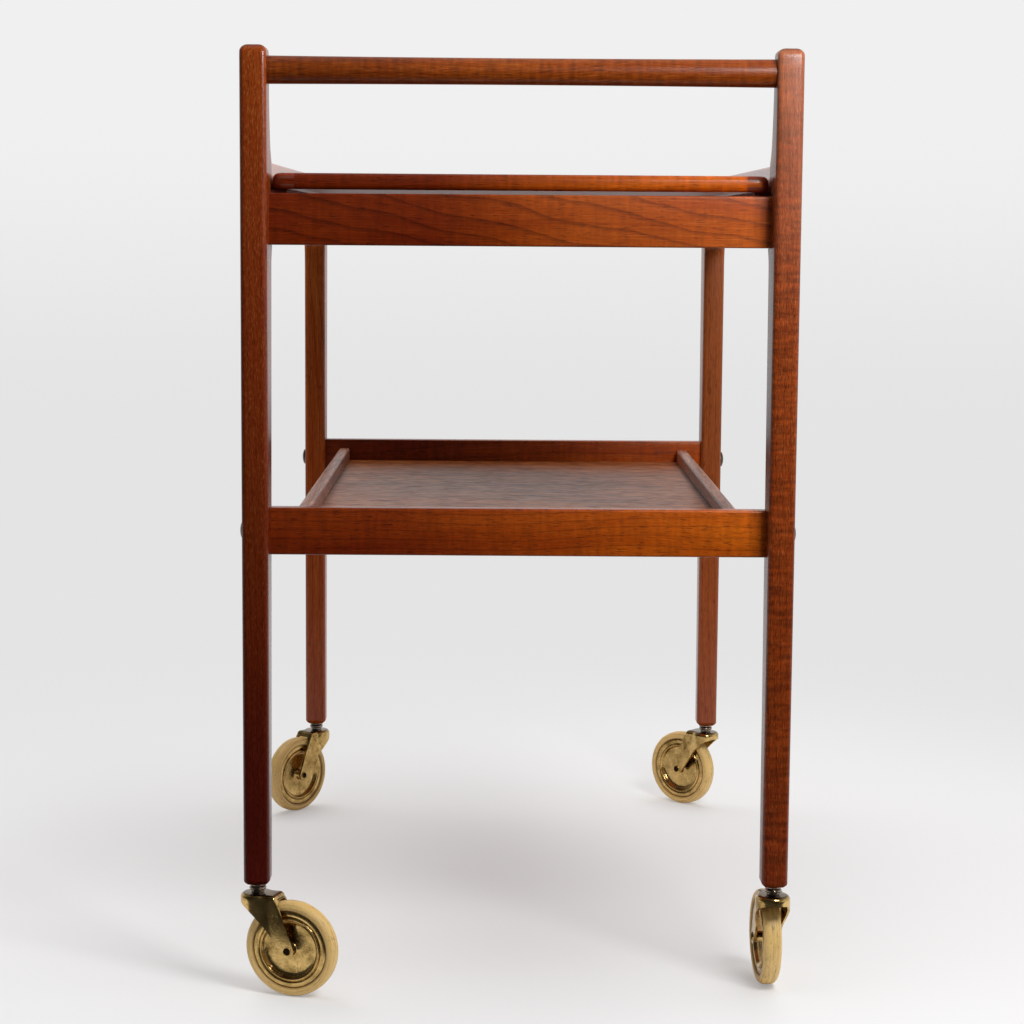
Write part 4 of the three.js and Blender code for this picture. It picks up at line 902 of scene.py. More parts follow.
class CART_OT_add_handle(bpy.types.Operator):
    """Turns the round handle, slightly waisted, with a tenon at each end"""

    bl_idname = "cart.add_handle"
    bl_label = "Handle"

    def execute(self, context):
        sizes = context.scene.cart_sizes
        colours = context.scene.cart_finishes
        low, high = span("handle_bar")
        centre = (low + high) / 2
        radius = (high.z - low.z) / 2
        reach = (high.x - low.x) / 2
        half = reach - sizes.tenon
        # The tenons stand back 2 mm from the handle's surface, and their ends are chamfered.
        pin = radius - 0.0020
        chamfer = 0.0004
        profile = [(0.0, -reach), (pin - chamfer, -reach), (pin, -reach + chamfer), (pin, -half)]
        steps = 24
        for i in range(steps + 1):
            t = 2 * i / steps - 1
            profile.append((radius - sizes.handle_waist * (1 - t * t), t * half))
        profile += [(pin, half), (pin, reach - chamfer), (pin - chamfer, reach), (0.0, reach)]
        bm = revolve(profile, 64)
        bmesh.ops.rotate(bm, verts=bm.verts, cent=(0, 0, 0),
                         matrix=Matrix.Rotation(math.pi / 2, 3, "Y"))
        bmesh.ops.translate(bm, verts=bm.verts, vec=centre)
        cross_cut(bm, 0)
        # Painted shade darkens the handle towards its left end.
        wood = teak(
            "Lacquered teak, turned handle", "X", colours.teak_chestnut, colours.teak_copper,
            11.0, pith=(0.31, -0.70), ring=0.006, rings=0.20, tilt=0.02, pores=0.6, flecks=0.15,
            figure=0.24, relief=0.35, gloss=0.27, painted_shading=(-0.2, 0.05, (0.75, 0.68, 0.60), 0.0))
        publish(bm, "handle_bar_turned", "frame", wood, ["handle_bar"], "teak_handle")
        return {"FINISHED"}


# ------------------------------------------------------------------ tray


def rim_ring(sizes, low, high, width):
    """The tray's whole rim as one closed, rounded ring."""
    bm = bmesh.new()

    def corners_at(inset):
        """The four corners of the rim's underside, drawn in by an inset."""
        x0, y0 = low.x + inset, low.y + inset
        x1, y1 = high.x - inset, high.y - inset
        plan = ((x0, y0), (x1, y0), (x1, y1), (x0, y1))
        return [bm.verts.new((x, y, low.z)) for x, y in plan]

    def is_square(edge):
        """Whether a level face and an upright one meet at an edge."""
        faces = edge.link_faces
        return len(faces) == 2 and 0.9 < sum(abs(face.normal.z) for face in faces) < 1.1

    outer, inner = corners_at(0.0), corners_at(width)
    for i in range(4):
        j = (i + 1) % 4
        bm.faces.new((outer[i], outer[j], inner[j], inner[i]))
    raised = new_verts(bmesh.ops.extrude_face_region(bm, geom=bm.faces[:]))
    bmesh.ops.translate(bm, verts=raised, vec=(0, 0, high.z - low.z))
    bmesh.ops.recalc_face_normals(bm, faces=bm.faces)
    middle = (low + high) / 2
    corners = [e for e in bm.edges if runs_along(e, 2)
               and abs(e.verts[0].co.x - middle.x) > (high.x - low.x) / 2 - 1e-4]
    round_edges(bm, corners, sizes.rim_corner, 8)
    rims = [e for e in bm.edges if not runs_along(e, 2) and is_square(e)]
    round_edges(bm, rims, sizes.rim_edge, 5)
    cross_cut(bm, 0)
    cross_cut(bm, 1)
    return bm


def part_of(ring, low, high):
    """What a block between two corners keeps of the ring, closed at its cuts."""
    bm = ring.copy()
    for axis in range(3):
        cut(bm, *plane(axis, low[axis], -1))
        cut(bm, *plane(axis, high[axis], 1))
    return bm


def fuse(parts, planes):
    """Joins blocks that meet face to face into one solid, parted alike along some planes."""
    bm = bmesh.new()
    for part in parts:
        for point, normal in planes:
            score(part, point, normal)
        mesh = bpy.data.meshes.new("part")
        part.to_mesh(mesh)
        part.free()
        bm.from_mesh(mesh)
        bpy.data.meshes.remove(mesh)
    bmesh.ops.remove_doubles(bm, verts=bm.verts, dist=MERGE)
    clear_inside(bm)
    return bm


def veneer(node, wood):
    """Dresses a panel of the CAD, whose shape needs nothing more."""
    materials = frame["nodes"][node].data.materials
    materials.clear()
    materials.append(wood)


class CART_OT_add_tray(bpy.types.Operator):
    """Builds the tray's rounded rim, parted at its fingered corners, and dresses its panel"""

    bl_idname = "cart.add_tray"
    bl_label = "Tray"

    def execute(self, context):
        sizes = context.scene.cart_sizes
        colours = context.scene.cart_finishes
        low, left_high = span("tray_rim_left")
        high = span("tray_rim_right")[1]
        width = left_high.x - low.x
        ring = rim_ring(sizes, low, high, width)
        # The shoulders are sawn a hair outside the rim's inner faces, so that no cut lies in one.
        shoulder = width - 0.00003
        inner_low = Vector((low.x + shoulder, low.y + shoulder, low.z))
        inner_high = Vector((high.x - shoulder, high.y - shoulder, high.z))
        finger = sizes.rim_finger

        def end_reach(end):
            """From the near (-1) or far (1) rim's inner face to beyond the cart, along Y."""
            if end < 0:
                return low.y - BEYOND, inner_low.y
            return inner_high.y, high.y + BEYOND

        def tongue(side, end, under, over, start=0.0, stop=finger):
            """The ring's part in one corner, from start to stop beyond the inner face."""
            xs = ((inner_low.x - stop, inner_low.x - start) if side < 0
                  else (inner_high.x + start, inner_high.x + stop))
            ys = end_reach(end)
            return part_of(ring, Vector((xs[0], ys[0], under)), Vector((xs[1], ys[1], over)))

        # The fingers lie in the middle third of the rim's height.
        third = (high.z - low.z) / 3
        z1, z2 = low.z + third, low.z + 2 * third
        bottom, top = low.z - BEYOND, high.z + BEYOND
        planes = [plane(0, x) for x in (
            inner_low.x - finger, inner_low.x, inner_high.x, inner_high.x + finger)]
        planes += [plane(1, y) for y in (inner_low.y, inner_high.y)]
        planes += [plane(2, z) for z in (z1, z2)]
        for end, name in zip((-1, 1), ENDS):
            ys = end_reach(end)
            bar = part_of(ring, Vector((inner_low.x, ys[0], bottom)),
                          Vector((inner_high.x, ys[1], top)))
            bm = fuse([bar, tongue(-1, end, z1, z2), tongue(1, end, z1, z2)], planes)
            # Painted shade darkens the near and far rims towards their left ends.
            wood = teak(
                f"Lacquered teak, {name} tray rim", "X", colours.teak_brown, colours.teak_honey,
                13.0 + end, pith=(0.33, -0.59), rings=0.0, pores=0.55, figure=0.16, gloss=0.26,
                painted_shading=(-0.05, 0.17, (0.30, 0.16, 0.08), 0.0), end=colours.end_grain)
            publish(bm, f"tray_rim_{name}_bar", "tray", wood, [f"tray_rim_{name}"],
                    "teak_tray_rim")
        for side, name in zip((-1, 1), SIDES):
            xs = ((low.x - BEYOND, inner_low.x) if side < 0
                  else (inner_high.x, high.x + BEYOND))
            parts = [part_of(ring, Vector((xs[0], inner_low.y, bottom)),
                             Vector((xs[1], inner_high.y, top)))]
            for end in (-1, 1):
                parts.append(tongue(side, end, bottom, z1, 0.0, BEYOND))
                parts.append(tongue(side, end, z2, top, 0.0, BEYOND))
                parts.append(tongue(side, end, z1, z2, finger, BEYOND))
            wood = teak(
                f"Lacquered teak, {name} tray rim", "Y", colours.teak_red, colours.teak_brown,
                17.0 + side, pith=(0.2, -0.66), ring=0.006, rings=0.3, pores=0.5, gloss=0.30,
                end=colours.end_grain)
            publish(fuse(parts, planes), f"tray_rim_{name}_bar", "tray", wood,
                    [f"tray_rim_{name}"], "teak_tray_rim")
        ring.free()
        wood = teak(
            "Teak veneer, tray", "X", colours.veneer_dark, colours.teak_brown, 21.0,
            pith=(0.1, -0.7), ring=0.009, rings=0.25, tilt=0.3, pores=0.6, gloss=0.34)
        veneer("tray_panel", wood)
        return {"FINISHED"}


# ------------------------------------------------------------------ lower shelf


class CART_OT_add_shelf(bpy.types.Operator):
    """Planes the lower shelf's rails and side members and dresses its veneered panel"""

    bl_idname = "cart.add_shelf"
    bl_label = "Lower shelf"

    def execute(self, context):
        sizes = context.scene.cart_sizes
        colours = context.scene.cart_finishes
        for number, end in enumerate(ENDS):
            # Painted shade darkens the shelf rails towards their left ends.
            wood = teak(
                f"Lacquered teak, {end} shelf rail", "X", colours.teak_amber, colours.teak_honey,
                23.0 + number, pith=(0.33, -0.50), ring=0.0065, rings=0.30, tilt=0.015,
                pores=0.6, figure=0.14, painted_shading=(-0.08, 0.2, (0.42, 0.28, 0.3), 0.0))
            plank(f"shelf_rail_{end}", "board", "X", sizes.board_edge, wood, "teak_shelf_rail")
        for number, side in enumerate(SIDES):
            wood = teak(
                f"Lacquered teak, {side} shelf side", "Y", colours.teak_rose, colours.teak_pale_and_sheen,
                25.0 + number, pith=(0.16, -0.4), ring=0.005, rings=0.5, pores=0.9,
                pore_length=0.03, fibre=2.2, gloss=0.34, relief=0.7, coarse=1.8)
            plank(f"shelf_side_{side}", "board", "Y", sizes.lip_edge, wood, "teak_shelf_side")
        wood = teak(
            "Teak veneer, shelf", "X", colours.veneer_dark, colours.veneer_light, 27.0,
            pith=(0.05, -0.5), ring=0.011, rings=0.35, tilt=0.2, pores=0.9, pore_length=0.018,
            fibre=2.4, flecks=0.35, gloss=0.28, ior=1.27, relief=0.9, coarse=3.0)
        veneer("shelf_panel", wood)
        return {"FINISHED"}


# ------------------------------------------------------------------ screws


def screw(head, reach, tall, slot_width, slot_depth):
    """A slotted round-headed screw along Z, its head at the top and its seat at 0.

    It is given the head's radius, the whole length, the head's height and its slot's size."""
    shank = head * 0.42
    # The head's straight rim takes up this share of its height.
    rim = 0.22
    profile = [(0.0, tall - reach), (shank, tall - reach + 2 * shank), (shank, 0.0),
               (head, 0.0), (head, tall * rim)]
    for i in range(1, 8):
        angle = i * math.pi / 16
        profile.append((head * math.cos(angle), tall * (rim + (1 - rim) * math.sin(angle))))
    profile.append((0.0, tall))
    bm = revolve(profile, 40)
    for sign in (-1, 1):
        score(bm, *plane(1, sign * slot_width / 2))
    bmesh.ops.recalc_face_normals(bm, faces=bm.faces)
    crown = [f for f in bm.faces if f.normal.z > 0.1 and f.calc_center_median().z > tall * 0.2
             and abs(f.calc_center_median().y) < slot_width / 2]
    for vert in new_verts(bmesh.ops.extrude_face_region(bm, geom=crown)):
        vert.co.z = tall - slot_depth if vert.co.xy.length < head * 0.97 else tall * 0.2
    return bm


class CART_OT_add_screws(bpy.types.Operator):
    """Turns the slotted screws of the lower shelf and of the tray's battens"""

    bl_idname = "cart.add_screws"
    bl_label = "Screws"

    def execute(self, context):
        sizes = context.scene.cart_sizes
        colours = context.scene.cart_finishes
        metal = turned_steel("Bronzed steel, screws", colours.steel_dark, 0.30)
        # Each size is the head's height, then the slot's width and depth.
        shelf_size = (sizes.screw_dome, 0.0015, 0.0012)
        batten_size = (0.0018, 0.0010, 0.0008)
        jobs = [(f"shelf_screw_{corner}", shelf_size, corner.endswith("right"))
                for corner in CORNERS]
        jobs += [(f"batten_screw_{side}_{end}", batten_size, side == "left")
                 for side in SIDES for end in ENDS]
        for node, size, faces_right in jobs:
            low, high = span(node)
            centre = (low + high) / 2
            bm = screw((high.z - low.z) / 2, high.x - low.x, *size)
            sign = 1 if faces_right else -1
            bmesh.ops.rotate(bm, verts=bm.verts, cent=(0, 0, 0),
                             matrix=Matrix.Rotation(sign * math.pi / 2, 3, "Y"))
            seat = high.x - size[0] if faces_right else low.x + size[0]
            bmesh.ops.translate(bm, verts=bm.verts, vec=(seat, centre.y, centre.z))
            publish(bm, f"{node}_turned", "frame", metal, [node], "brass_screw")
        return {"FINISHED"}


# ------------------------------------------------------------------ castors


def castor_frame(corner):
    """Where a castor stands: its stem's axis and turn, its trail and its axle's height."""
    swivel = Vector(JOINTS[f"swivel_{corner}"]["pos_m"])
    wheel = Vector(JOINTS[f"wheel_spin_{corner}"]["pos_m"])
    offset = wheel - swivel
    heading = math.atan2(offset.y, offset.x)
    to_stem = Matrix.Translation((swivel.x, swivel.y, 0)) @ Matrix.Rotation(heading, 4, "Z")
    return to_stem, offset.xy.length, wheel.z


def wheel_frame(corner):
    """Turns a shape made about Z so that it lies on the wheel's axle."""
    to_stem, trail, height = castor_frame(corner)
    return to_stem @ Matrix.Translation((trail, 0, height)) @ Matrix.Rotation(-math.pi / 2, 4, "X")


class ForkSide:
    """Side view of the fork: x runs back from the stem, and y down from the fork's top."""

    def __init__(self, sizes, trail, drop):
        """Fits the back edge and the front sweep to the round end about the axle."""
        self.sizes = sizes
        self.centre = Vector((trail, drop))
        self.nose = Vector((-sizes.fork_head, sizes.fork_skirt))
        self.throat = Vector((sizes.fork_throat_back, sizes.fork_throat))
        end = sizes.fork_arm_end
        gap = self.centre - Vector((sizes.fork_tail, 0))
        lean = math.atan2(gap.x, gap.y) + math.asin(end / gap.length)
        self.slope = math.tan(lean)
        self.last = -lean
        gap = self.centre - self.throat
        self.first = math.atan2(gap.y, gap.x) + math.asin(end / gap.length) + math.pi / 2

    def edge(self, s):
        """A point of the lower edge: the sweep of the front up to 1, then the round end."""
        end = self.sizes.fork_arm_end
        angle = self.first + (self.last - self.first) * max(0.0, s - 1)
        round_end = self.centre + end * toward(angle)
        if s >= 1:
            return round_end
        r = 1 - s
        return self.nose * (r * r) + self.throat * (2 * r * s) + round_end * (s * s)

    def lean(self, x):
        """How far a line that starts at x runs back for each metre down."""
        return self.slope * max(0.0, x) / self.sizes.fork_tail

    def depth(self, x):
        """How deep a line that starts at x on the top reaches."""
        low, high = 0.0, 2.0
        # Each round halves the stretch of the edge in which the line ends.
        for _ in range(50):
            s = (low + high) / 2
            point = self.edge(s)
            start = point.x if point.x <= 0 else (
                point.x / (1 + point.y * self.slope / self.sizes.fork_tail))
            low, high = (s, high) if start < x else (low, s)
        return self.edge(low).y


def fork_columns(sizes, side):
    """One half of the fork as lines that run from its plate down to its edge.

    Each holds a point of the plate, a point of the plan's outline, the depth and whether it is
    part of an arm. They go from the nose round the head, along the arm and across the back."""
    head, half, neck, tail = sizes.fork_head, sizes.fork_half, sizes.fork_neck, sizes.fork_tail
    bend, corner = sizes.fork_bend, sizes.fork_corner
    reach = math.sqrt((head + neck) ** 2 - (half + neck) ** 2)
    meet = math.atan2(half + neck, reach)
    columns = []

    def column(plate, outline, depth, arm):
        columns.append((Vector(plate), Vector(outline), depth, arm))

    for i in range(20):
        angle = math.pi + (meet - math.pi) * i / 19
        way = toward(angle)
        column(way * (head - bend), way * head, side.depth(way.x * head), True)
    for i in range(1, 6):
        angle = math.pi + meet + (math.pi / 2 - meet) * i / 5
        way = toward(angle)
        hub = Vector((reach, half + neck))
        outline = hub + way * neck
        column(hub + way * (neck + bend), outline, side.depth(outline.x), True)
    for i in range(1, 10):
        x = reach + (tail - corner - reach) * i / 9
        column((min(x, tail - bend), half - bend), (x, half), side.depth(x), True)
    for i in range(1, 7):
        angle = math.pi / 2 * (1 - i / 6)
        way = toward(angle)
        outline = Vector((tail - corner, half - corner)) + way * corner
        column((tail - bend, half - bend), outline, side.depth(outline.x), True)
    for i in range(1, 9):
        y = (half - corner) * (1 - i / 8)
        column((tail - bend, min(y, half - bend)), (tail, y), 0.0, False)
    return columns


def fork(sizes, trail, axle_height, top):
    """The pressed fork: a plate with a round head and a soft crest, its skirt, a back flap that
    arches over the tyre, and two arms that end in rounds about the axle."""
    side = ForkSide(sizes, trail, top - axle_height)
    columns = fork_columns(sizes, side)
    bend, half = sizes.fork_bend, sizes.fork_half
    # The flap is as deep as the front edge is where the head turns into the arm.
    flap = next(depth for _, _, depth, _ in columns if depth > sizes.fork_throat * 0.93)
    bm = bmesh.new()
    mark = bm.verts.layers.int.new("column")
    starts = []
    for number, (plate, _, _, _) in enumerate(columns):
        vert = bm.verts.new((*plate, top))
        vert[mark] = number
        starts.append(vert)
    bm.faces.new(starts)
    edges = [bm.edges.get(pair) for pair in zip(starts, starts[1:])]

    def grow(edges, place):
        """Draws a row of edges on by one, and puts each new vertex in its place."""
        made = bmesh.ops.extrude_edge_only(bm, edges=edges)["geom"]
        verts = {item for item in made if isinstance(item, bmesh.types.BMVert)}
        for vert in verts:
            vert.co = place(*columns[vert[mark]])
        return [item for item in made if isinstance(item, bmesh.types.BMEdge)
                and item.verts[0] in verts and item.verts[1] in verts]

    def crest(angle):
        """Places on the bend from the plate down to the sides."""
        def place(plate, outline, *_):
            point = plate.lerp(outline, math.sin(angle))
            return (*point, top - bend * (1 - math.cos(angle)))
        return place

    def wall(start, end, share):
        """Places on the sides, a share of the way between two depths."""
        def place(_, outline, depth, arm):
            stop = depth if arm else sizes.fork_arch + (flap - sizes.fork_arch) * (
                abs(outline.y) / (half - sizes.fork_corner)) ** 6
            begin, stop = min(start, stop), min(end, stop)
            down = begin + (stop - begin) * share
            # Below the flap the arm flattens out, within a centimetre.
            ease = min(1.0, max(0.0, (down - flap) / 0.010))
            y = outline.y + (half - outline.y) * ease * ease * (3 - 2 * ease) * (
                outline.x > sizes.fork_tail - sizes.fork_corner - EXACT)
            # The lean starts a third of the way down the bend.
            lean = side.lean(outline.x) * (down - bend * 0.35)
            return (outline.x + lean, y, top - down)
        return place

    for i in range(1, 7):
        edges = grow(edges, crest(math.pi / 2 * i / 6))
    for i in range(1, 4):
        edges = grow(edges, wall(bend, flap, i / 3))
    deep = {n for n, (_, _, depth, arm) in enumerate(columns) if arm and depth > flap - 1e-9}
    edges = [e for e in edges if all(v[mark] in deep for v in e.verts)]
    for i in range(1, 9):
        edges = grow(edges, wall(flap, 1.0, i / 8))
    bmesh.ops.remove_doubles(bm, verts=bm.verts, dist=EXACT)
    bmesh.ops.dissolve_degenerate(bm, edges=bm.edges, dist=EXACT)
    bmesh.ops.mirror(bm, geom=bm.verts[:] + bm.edges[:] + bm.faces[:], merge_dist=1e-5, axis="Y")
    bmesh.ops.remove_doubles(bm, verts=bm.verts, dist=MERGE)
    # The faces have to point outwards before the sheet gets its thickness.
    bmesh.ops.recalc_face_normals(bm, faces=bm.faces)
    if sum(f.normal.z * f.calc_area() for f in bm.faces) < 0:
        bmesh.ops.reverse_faces(bm, faces=bm.faces)
    bmesh.ops.solidify(bm, geom=bm.faces[:], thickness=sizes.fork_sheet)
    return bm


def bead(lip, start, tall):
    """Profile of a half-round bead that reaches out to a radius and rises from a height."""
    radius = tall / 2
    return arc(lip - radius, start + radius, radius, -90, 90, 10)


def socket_profile(low, high, foot):
    """Profile of a socket: a sleeve in the leg, on a beaded flange under the foot."""
    bore, sleeve, lip = 0.0041, 0.0054, 0.0067
    # The flange stops just short of the wood.
    tall = foot - low - 0.00005
    flange = [(bore, low), *bead(lip, low, tall)]
    return flange + [(sleeve, low + tall), (sleeve, high), (bore, high), (bore, low)]


def stem_profile(low, high, under):
    """Profile of a stem: a riveted end, a spacer on the fork, a beaded collar and a long neck."""
    neck, lip, spacer = 0.0038, 0.0066, 0.0050
    tall, spacer_tall, rivet_tall = 0.0028, 0.0019, 0.0024
    # The collar stops just short of the socket.
    start = under - 0.0004 - tall
    foot = [(0.0, low), (0.0034, low), (0.0054, low + 0.0018), (0.0056, low + rivet_tall),
            (neck, low + rivet_tall), (neck, start - spacer_tall),
            (spacer, start - spacer_tall), (spacer, start)]
    return foot + bead(lip, start, tall) + [(neck, start + tall), (neck, high), (0.0, high)]


def axle_pin(sizes):
    """The axle about Z, each end riveted over into a rim with a shallow dish inside it."""
    half = sizes.fork_half + sizes.axle_proud
    dish = half - sizes.axle_proud * 0.8
    r = sizes.axle
    rim = [(0.0, dish), (r * 0.80, dish), (r * 0.84, half - 0.0001),
           (r * 0.90, half), (r * 0.96, half), (r, half - 0.0003)]
    return revolve([(u, -v) for u, v in rim] + rim[::-1], 40)


class CART_OT_add_castors(bpy.types.Operator):
    """Presses the forks and turns the sockets, stems and axles of the four castors"""

    bl_idname = "cart.add_castors"
    bl_label = "Castors"

    def execute(self, context):
        sizes = context.scene.cart_sizes
        colours = context.scene.cart_finishes
        steel = turned_steel("Turned steel, stems and sockets", colours.steel, 0.13)
        # The axle ends' dishes get a painted shade that stands for the dark of a hole.
        dish_shade = hole_shade("Painted hole shade, axle ends")
        pressed = brass("Polished brass, pressed forks", colours.brass_bright, colours.brass_dull,
                        tarnish=0.55, pits=0.15, roughness=0.14, top=0.85)
        for corner in CORNERS:
            to_stem, trail, height = castor_frame(corner)
            foot = span(f"leg_{corner}")[0].z
            under = span(f"socket_{corner}")[0].z
            for kind, profile, limit in (
                ("socket", socket_profile, foot), ("stem", stem_profile, under)):
                node = f"{kind}_{corner}"
                low, high = span(node)
                bm = revolve(profile(low.z, high.z, limit), 40)
                bmesh.ops.transform(bm, matrix=to_stem, verts=bm.verts)
                publish(bm, f"{node}_turned", "frame", steel, [node], "dark_steel", 50)
            node = f"fork_{corner}"
            bm = fork(sizes, trail, height, span(node)[1].z)
            bmesh.ops.transform(bm, matrix=to_stem, verts=bm.verts)
            publish(bm, f"{node}_shell", f"castor_{corner}", pressed, [node], "brass_fork", 50)
            node = f"axle_{corner}"
            to_wheel = wheel_frame(corner)
            bm = axle_pin(sizes)
            bmesh.ops.transform(bm, matrix=to_wheel, verts=bm.verts)
            pin = publish(bm, f"{node}_pin", f"castor_{corner}", pressed, [node], "brass_fork")
            # Both dishes are painted black-brown, a painted shade that stands for the dark of a
            # hole.
            pin.data.materials.append(dish_shade)
            to_axle = to_wheel.inverted()
            for face in pin.data.polygons:
                place = to_axle @ face.center
                if place.xy.length < sizes.axle * 0.83:
                    face.material_index = 1
        return {"FINISHED"}


# ------------------------------------------------------------------ wheels


def mirrored(half_section):
    """Closes one half of a wheel's section with its mirror image."""
    lower = [(radius, -along) for radius, along in half_section]
    return lower + half_section[::-1] + lower[:1]


class CART_OT_add_wheels(bpy.types.Operator):
    """Presses the brass hubs and moulds the cream tyres of the four wheels"""

    bl_idname = "cart.add_wheels"
    bl_label = "Wheels"

    def execute(self, context):
        colours = context.scene.cart_finishes
        pressed = brass("Polished brass, wheel hubs", colours.brass_bright, colours.brass_dull,
                        tarnish=0.35, pits=0.45, roughness=0.13)
        rubber = cream_rubber("Yellowed cream rubber")
        # Sections as (radius, half thickness): boss, dished disc, raised bead, groove and band.
        hub = [(0.0035, 0.0076), (0.0042, 0.0076), (0.0046, 0.0072), (0.0046, 0.0034)]
        hub += [(0.0056, 0.0027), (0.0080, 0.0024), (0.0140, 0.0022), (0.0190, 0.0023),
                (0.0205, 0.0026), (0.0214, 0.0031), (0.0220, 0.0040), (0.0225, 0.0050)]
        hub += arc(0.0238, 0.0051, 0.0010, 165, 0, 9)
        hub += [(0.0249, 0.0046), (0.0251, 0.0046), (0.0253, 0.0050), (0.0257, 0.0054),
                (0.0262, 0.0056), (0.0290, 0.0056), (0.0296, 0.0054), (0.0299, 0.0051),
                (0.0300, 0.0046)]
        tyre = [(0.0302, 0.0050), (0.0303, 0.0058), (0.0307, 0.0064), (0.0314, 0.0068),
                (0.0324, 0.0070), (0.0335, 0.0069), (0.0346, 0.0064), (0.0355, 0.0057),
                (0.0362, 0.0048), (0.0367, 0.0037), (0.0369, 0.0024), (0.0370, 0.0008)]
        for corner in CORNERS:
            to_wheel = wheel_frame(corner)
            for kind, section, material, slot in (
                ("hub", hub, pressed, "brass_hub"), ("tyre", tyre, rubber, "cream_tyre")):
                bm = revolve(mirrored(section), 96)
                bmesh.ops.transform(bm, matrix=to_wheel, verts=bm.verts)
                wheel = publish(bm, f"{kind}_{corner}_turned", f"wheel_{corner}", material,
                                [f"{kind}_{corner}"], slot, 55)
                # The wheel's own coordinates, for what runs round it.
                own = wheel.data.attributes.new("wheel", "FLOAT_VECTOR", "POINT")
                back = to_wheel.inverted()
                places = [back @ vert.co for vert in wheel.data.vertices]
                own.data.foreach_set("vector", [value for place in places for value in place])
        return {"FINISHED"}


# ------------------------------------------------------------------ studio


def studio_centre(sizes):
    """The middle of the legs, on the floor."""
    left, right = span("leg_near_left")[0], span("leg_near_right")[1]
    return Vector(((left.x + right.x) / 2, (left.y + far_face(sizes)) / 2, 0))


def aimed(place, target):
    """A matrix that puts a lamp at a place and points it at a target."""
    way = (target - place).to_track_quat("-Z", "Y").to_matrix().to_4x4()
    return Matrix.Translation(place) @ way


class CART_OT_add_studio(bpy.types.Operator):
    """Sets the pale floor, the soft lights, the white surround and the camera"""

    bl_idname = "cart.add_studio"
    bl_label = "Studio"

    def execute(self, context):
        scene = context.scene
        studio = scene.cart_studio
        centre = studio_centre(scene.cart_sizes)
        self.add_camera(scene, studio, centre)
        self.add_floor(scene, centre)
        self.add_world(scene, studio)
        # Each has its power, its width, its place and what it is aimed at.
        lamps = (
            ("Key soft box", studio.key_power, 0.36, (0.45, -0.86, 0.97), (0.05, -0.25, 0.55)),
            ("Top soft box", studio.top_power, 3.6, (-0.2, 0.7, 3.2), (0.0, 0.2, 0.3)),
        )
        for name, watts, size, place, target in lamps:
            lamp = bpy.data.lights.new(name, "AREA")
            lamp.shape = "SQUARE"
            lamp.size = size
            lamp.energy = watts
            holder = bpy.data.objects.new(name, lamp)
            holder.matrix_world = aimed(centre + Vector(place), centre + Vector(target))
            holder.visible_glossy = name.startswith("Key")
            scene.collection.objects.link(holder)
        scene.view_settings.view_transform = "Standard"
        return {"FINISHED"}

    def add_camera(self, scene, studio, centre):
        camera = bpy.data.cameras.new("Camera")
        camera.sensor_width = 36.0
        camera.lens = studio.camera_lens
        camera.clip_end = 50.0
        holder = bpy.data.objects.new("Camera", camera)
        way = (
            Matrix.Rotation(studio.camera_yaw, 4, "Z")
            @ Matrix.Rotation(math.pi / 2 - studio.camera_pitch, 4, "X")
            @ Matrix.Rotation(studio.camera_roll, 4, "Z")
        )
        holder.matrix_world = Matrix.Translation(centre + Vector(studio.camera_place)) @ way
        scene.collection.objects.link(holder)
        scene.camera = holder

    def add_floor(self, scene, centre):
        bm = bmesh.new()
        bmesh.ops.create_circle(bm, cap_ends=True, radius=6.0, segments=64)
        bmesh.ops.translate(bm, verts=bm.verts, vec=centre)
        mesh = bpy.data.meshes.new("Floor")
        bm.to_mesh(mesh)
        bm.free()
        floor = bpy.data.objects.new("Floor", mesh)
        scene.collection.objects.link(floor)
        material, tree = blank("Pale studio floor")
        colours = scene.cart_finishes
        # The floor fades into the backdrop away from the cart.
        place = add(tree, "ShaderNodeTexCoord")
        away = add(tree, "ShaderNodeVectorMath", {
            0: place.outputs["Object"], 1: (centre.x, centre.y, 0)}, operation="SUBTRACT")
        reach = add(tree, "ShaderNodeVectorMath", {0: away.outputs[0]}, operation="LENGTH")
        fade = add(tree, "ShaderNodeMapRange", {
            "Value": reach.outputs["Value"], "From Min": 0.35, "From Max": 1.3,
            "To Min": 0.38}, interpolation_type="SMOOTHSTEP")
        # Before the cart the studio is unlit, so the floor there sends little light back.
        axes = add(tree, "ShaderNodeSeparateXYZ", {0: away.outputs[0]})
        before = add(tree, "ShaderNodeMapRange", {
            "Value": axes.outputs["Y"], "From Min": -0.405, "From Max": -0.430, "To Max": 1.0},
            interpolation_type="SMOOTHSTEP")
        path = add(tree, "ShaderNodeLightPath")
        unseen = add(tree, "ShaderNodeMath", {0: 1.0, 1: path.outputs["Is Camera Ray"]},
                     operation="SUBTRACT")
        unlit = add(tree, "ShaderNodeMath", {0: before.outputs[0], 1: unseen.outputs[0]},
                    operation="MULTIPLY")
        pale = add(tree, "ShaderNodeMix", {
            0: unlit.outputs[0], 6: rgba(colours.floor), 7: (0.05, 0.05, 0.05, 1)},
            data_type="RGBA")
        seen = add(tree, "ShaderNodeMath", {
            0: path.outputs["Is Camera Ray"], 1: fade.outputs[0]}, operation="MULTIPLY")
        matt = add(tree, "ShaderNodeBsdfDiffuse", {"Color": pale.outputs[2]})
        white = add(tree, "ShaderNodeEmission", {
            "Color": rgba(colours.backdrop_low), "Strength": 1.0})
        both = add(tree, "ShaderNodeMixShader", {
            0: seen.outputs[0], 1: matt.outputs[0], 2: white.outputs[0]})
        add(tree, "ShaderNodeOutputMaterial", {"Surface": both.outputs[0]})
        mesh.materials.append(material)

    def add_world(self, scene, studio):
        """White all round and overhead, and a dark room before the cart for gloss to show."""
        world = bpy.data.worlds.new("Studio")
        world.use_nodes = True
        tree = world.node_tree
        tree.nodes.clear()
        colours = scene.cart_finishes
        path = add(tree, "ShaderNodeLightPath")
        place = add(tree, "ShaderNodeTexCoord")
        way = add(tree, "ShaderNodeSeparateXYZ", {0: place.outputs["Generated"]})
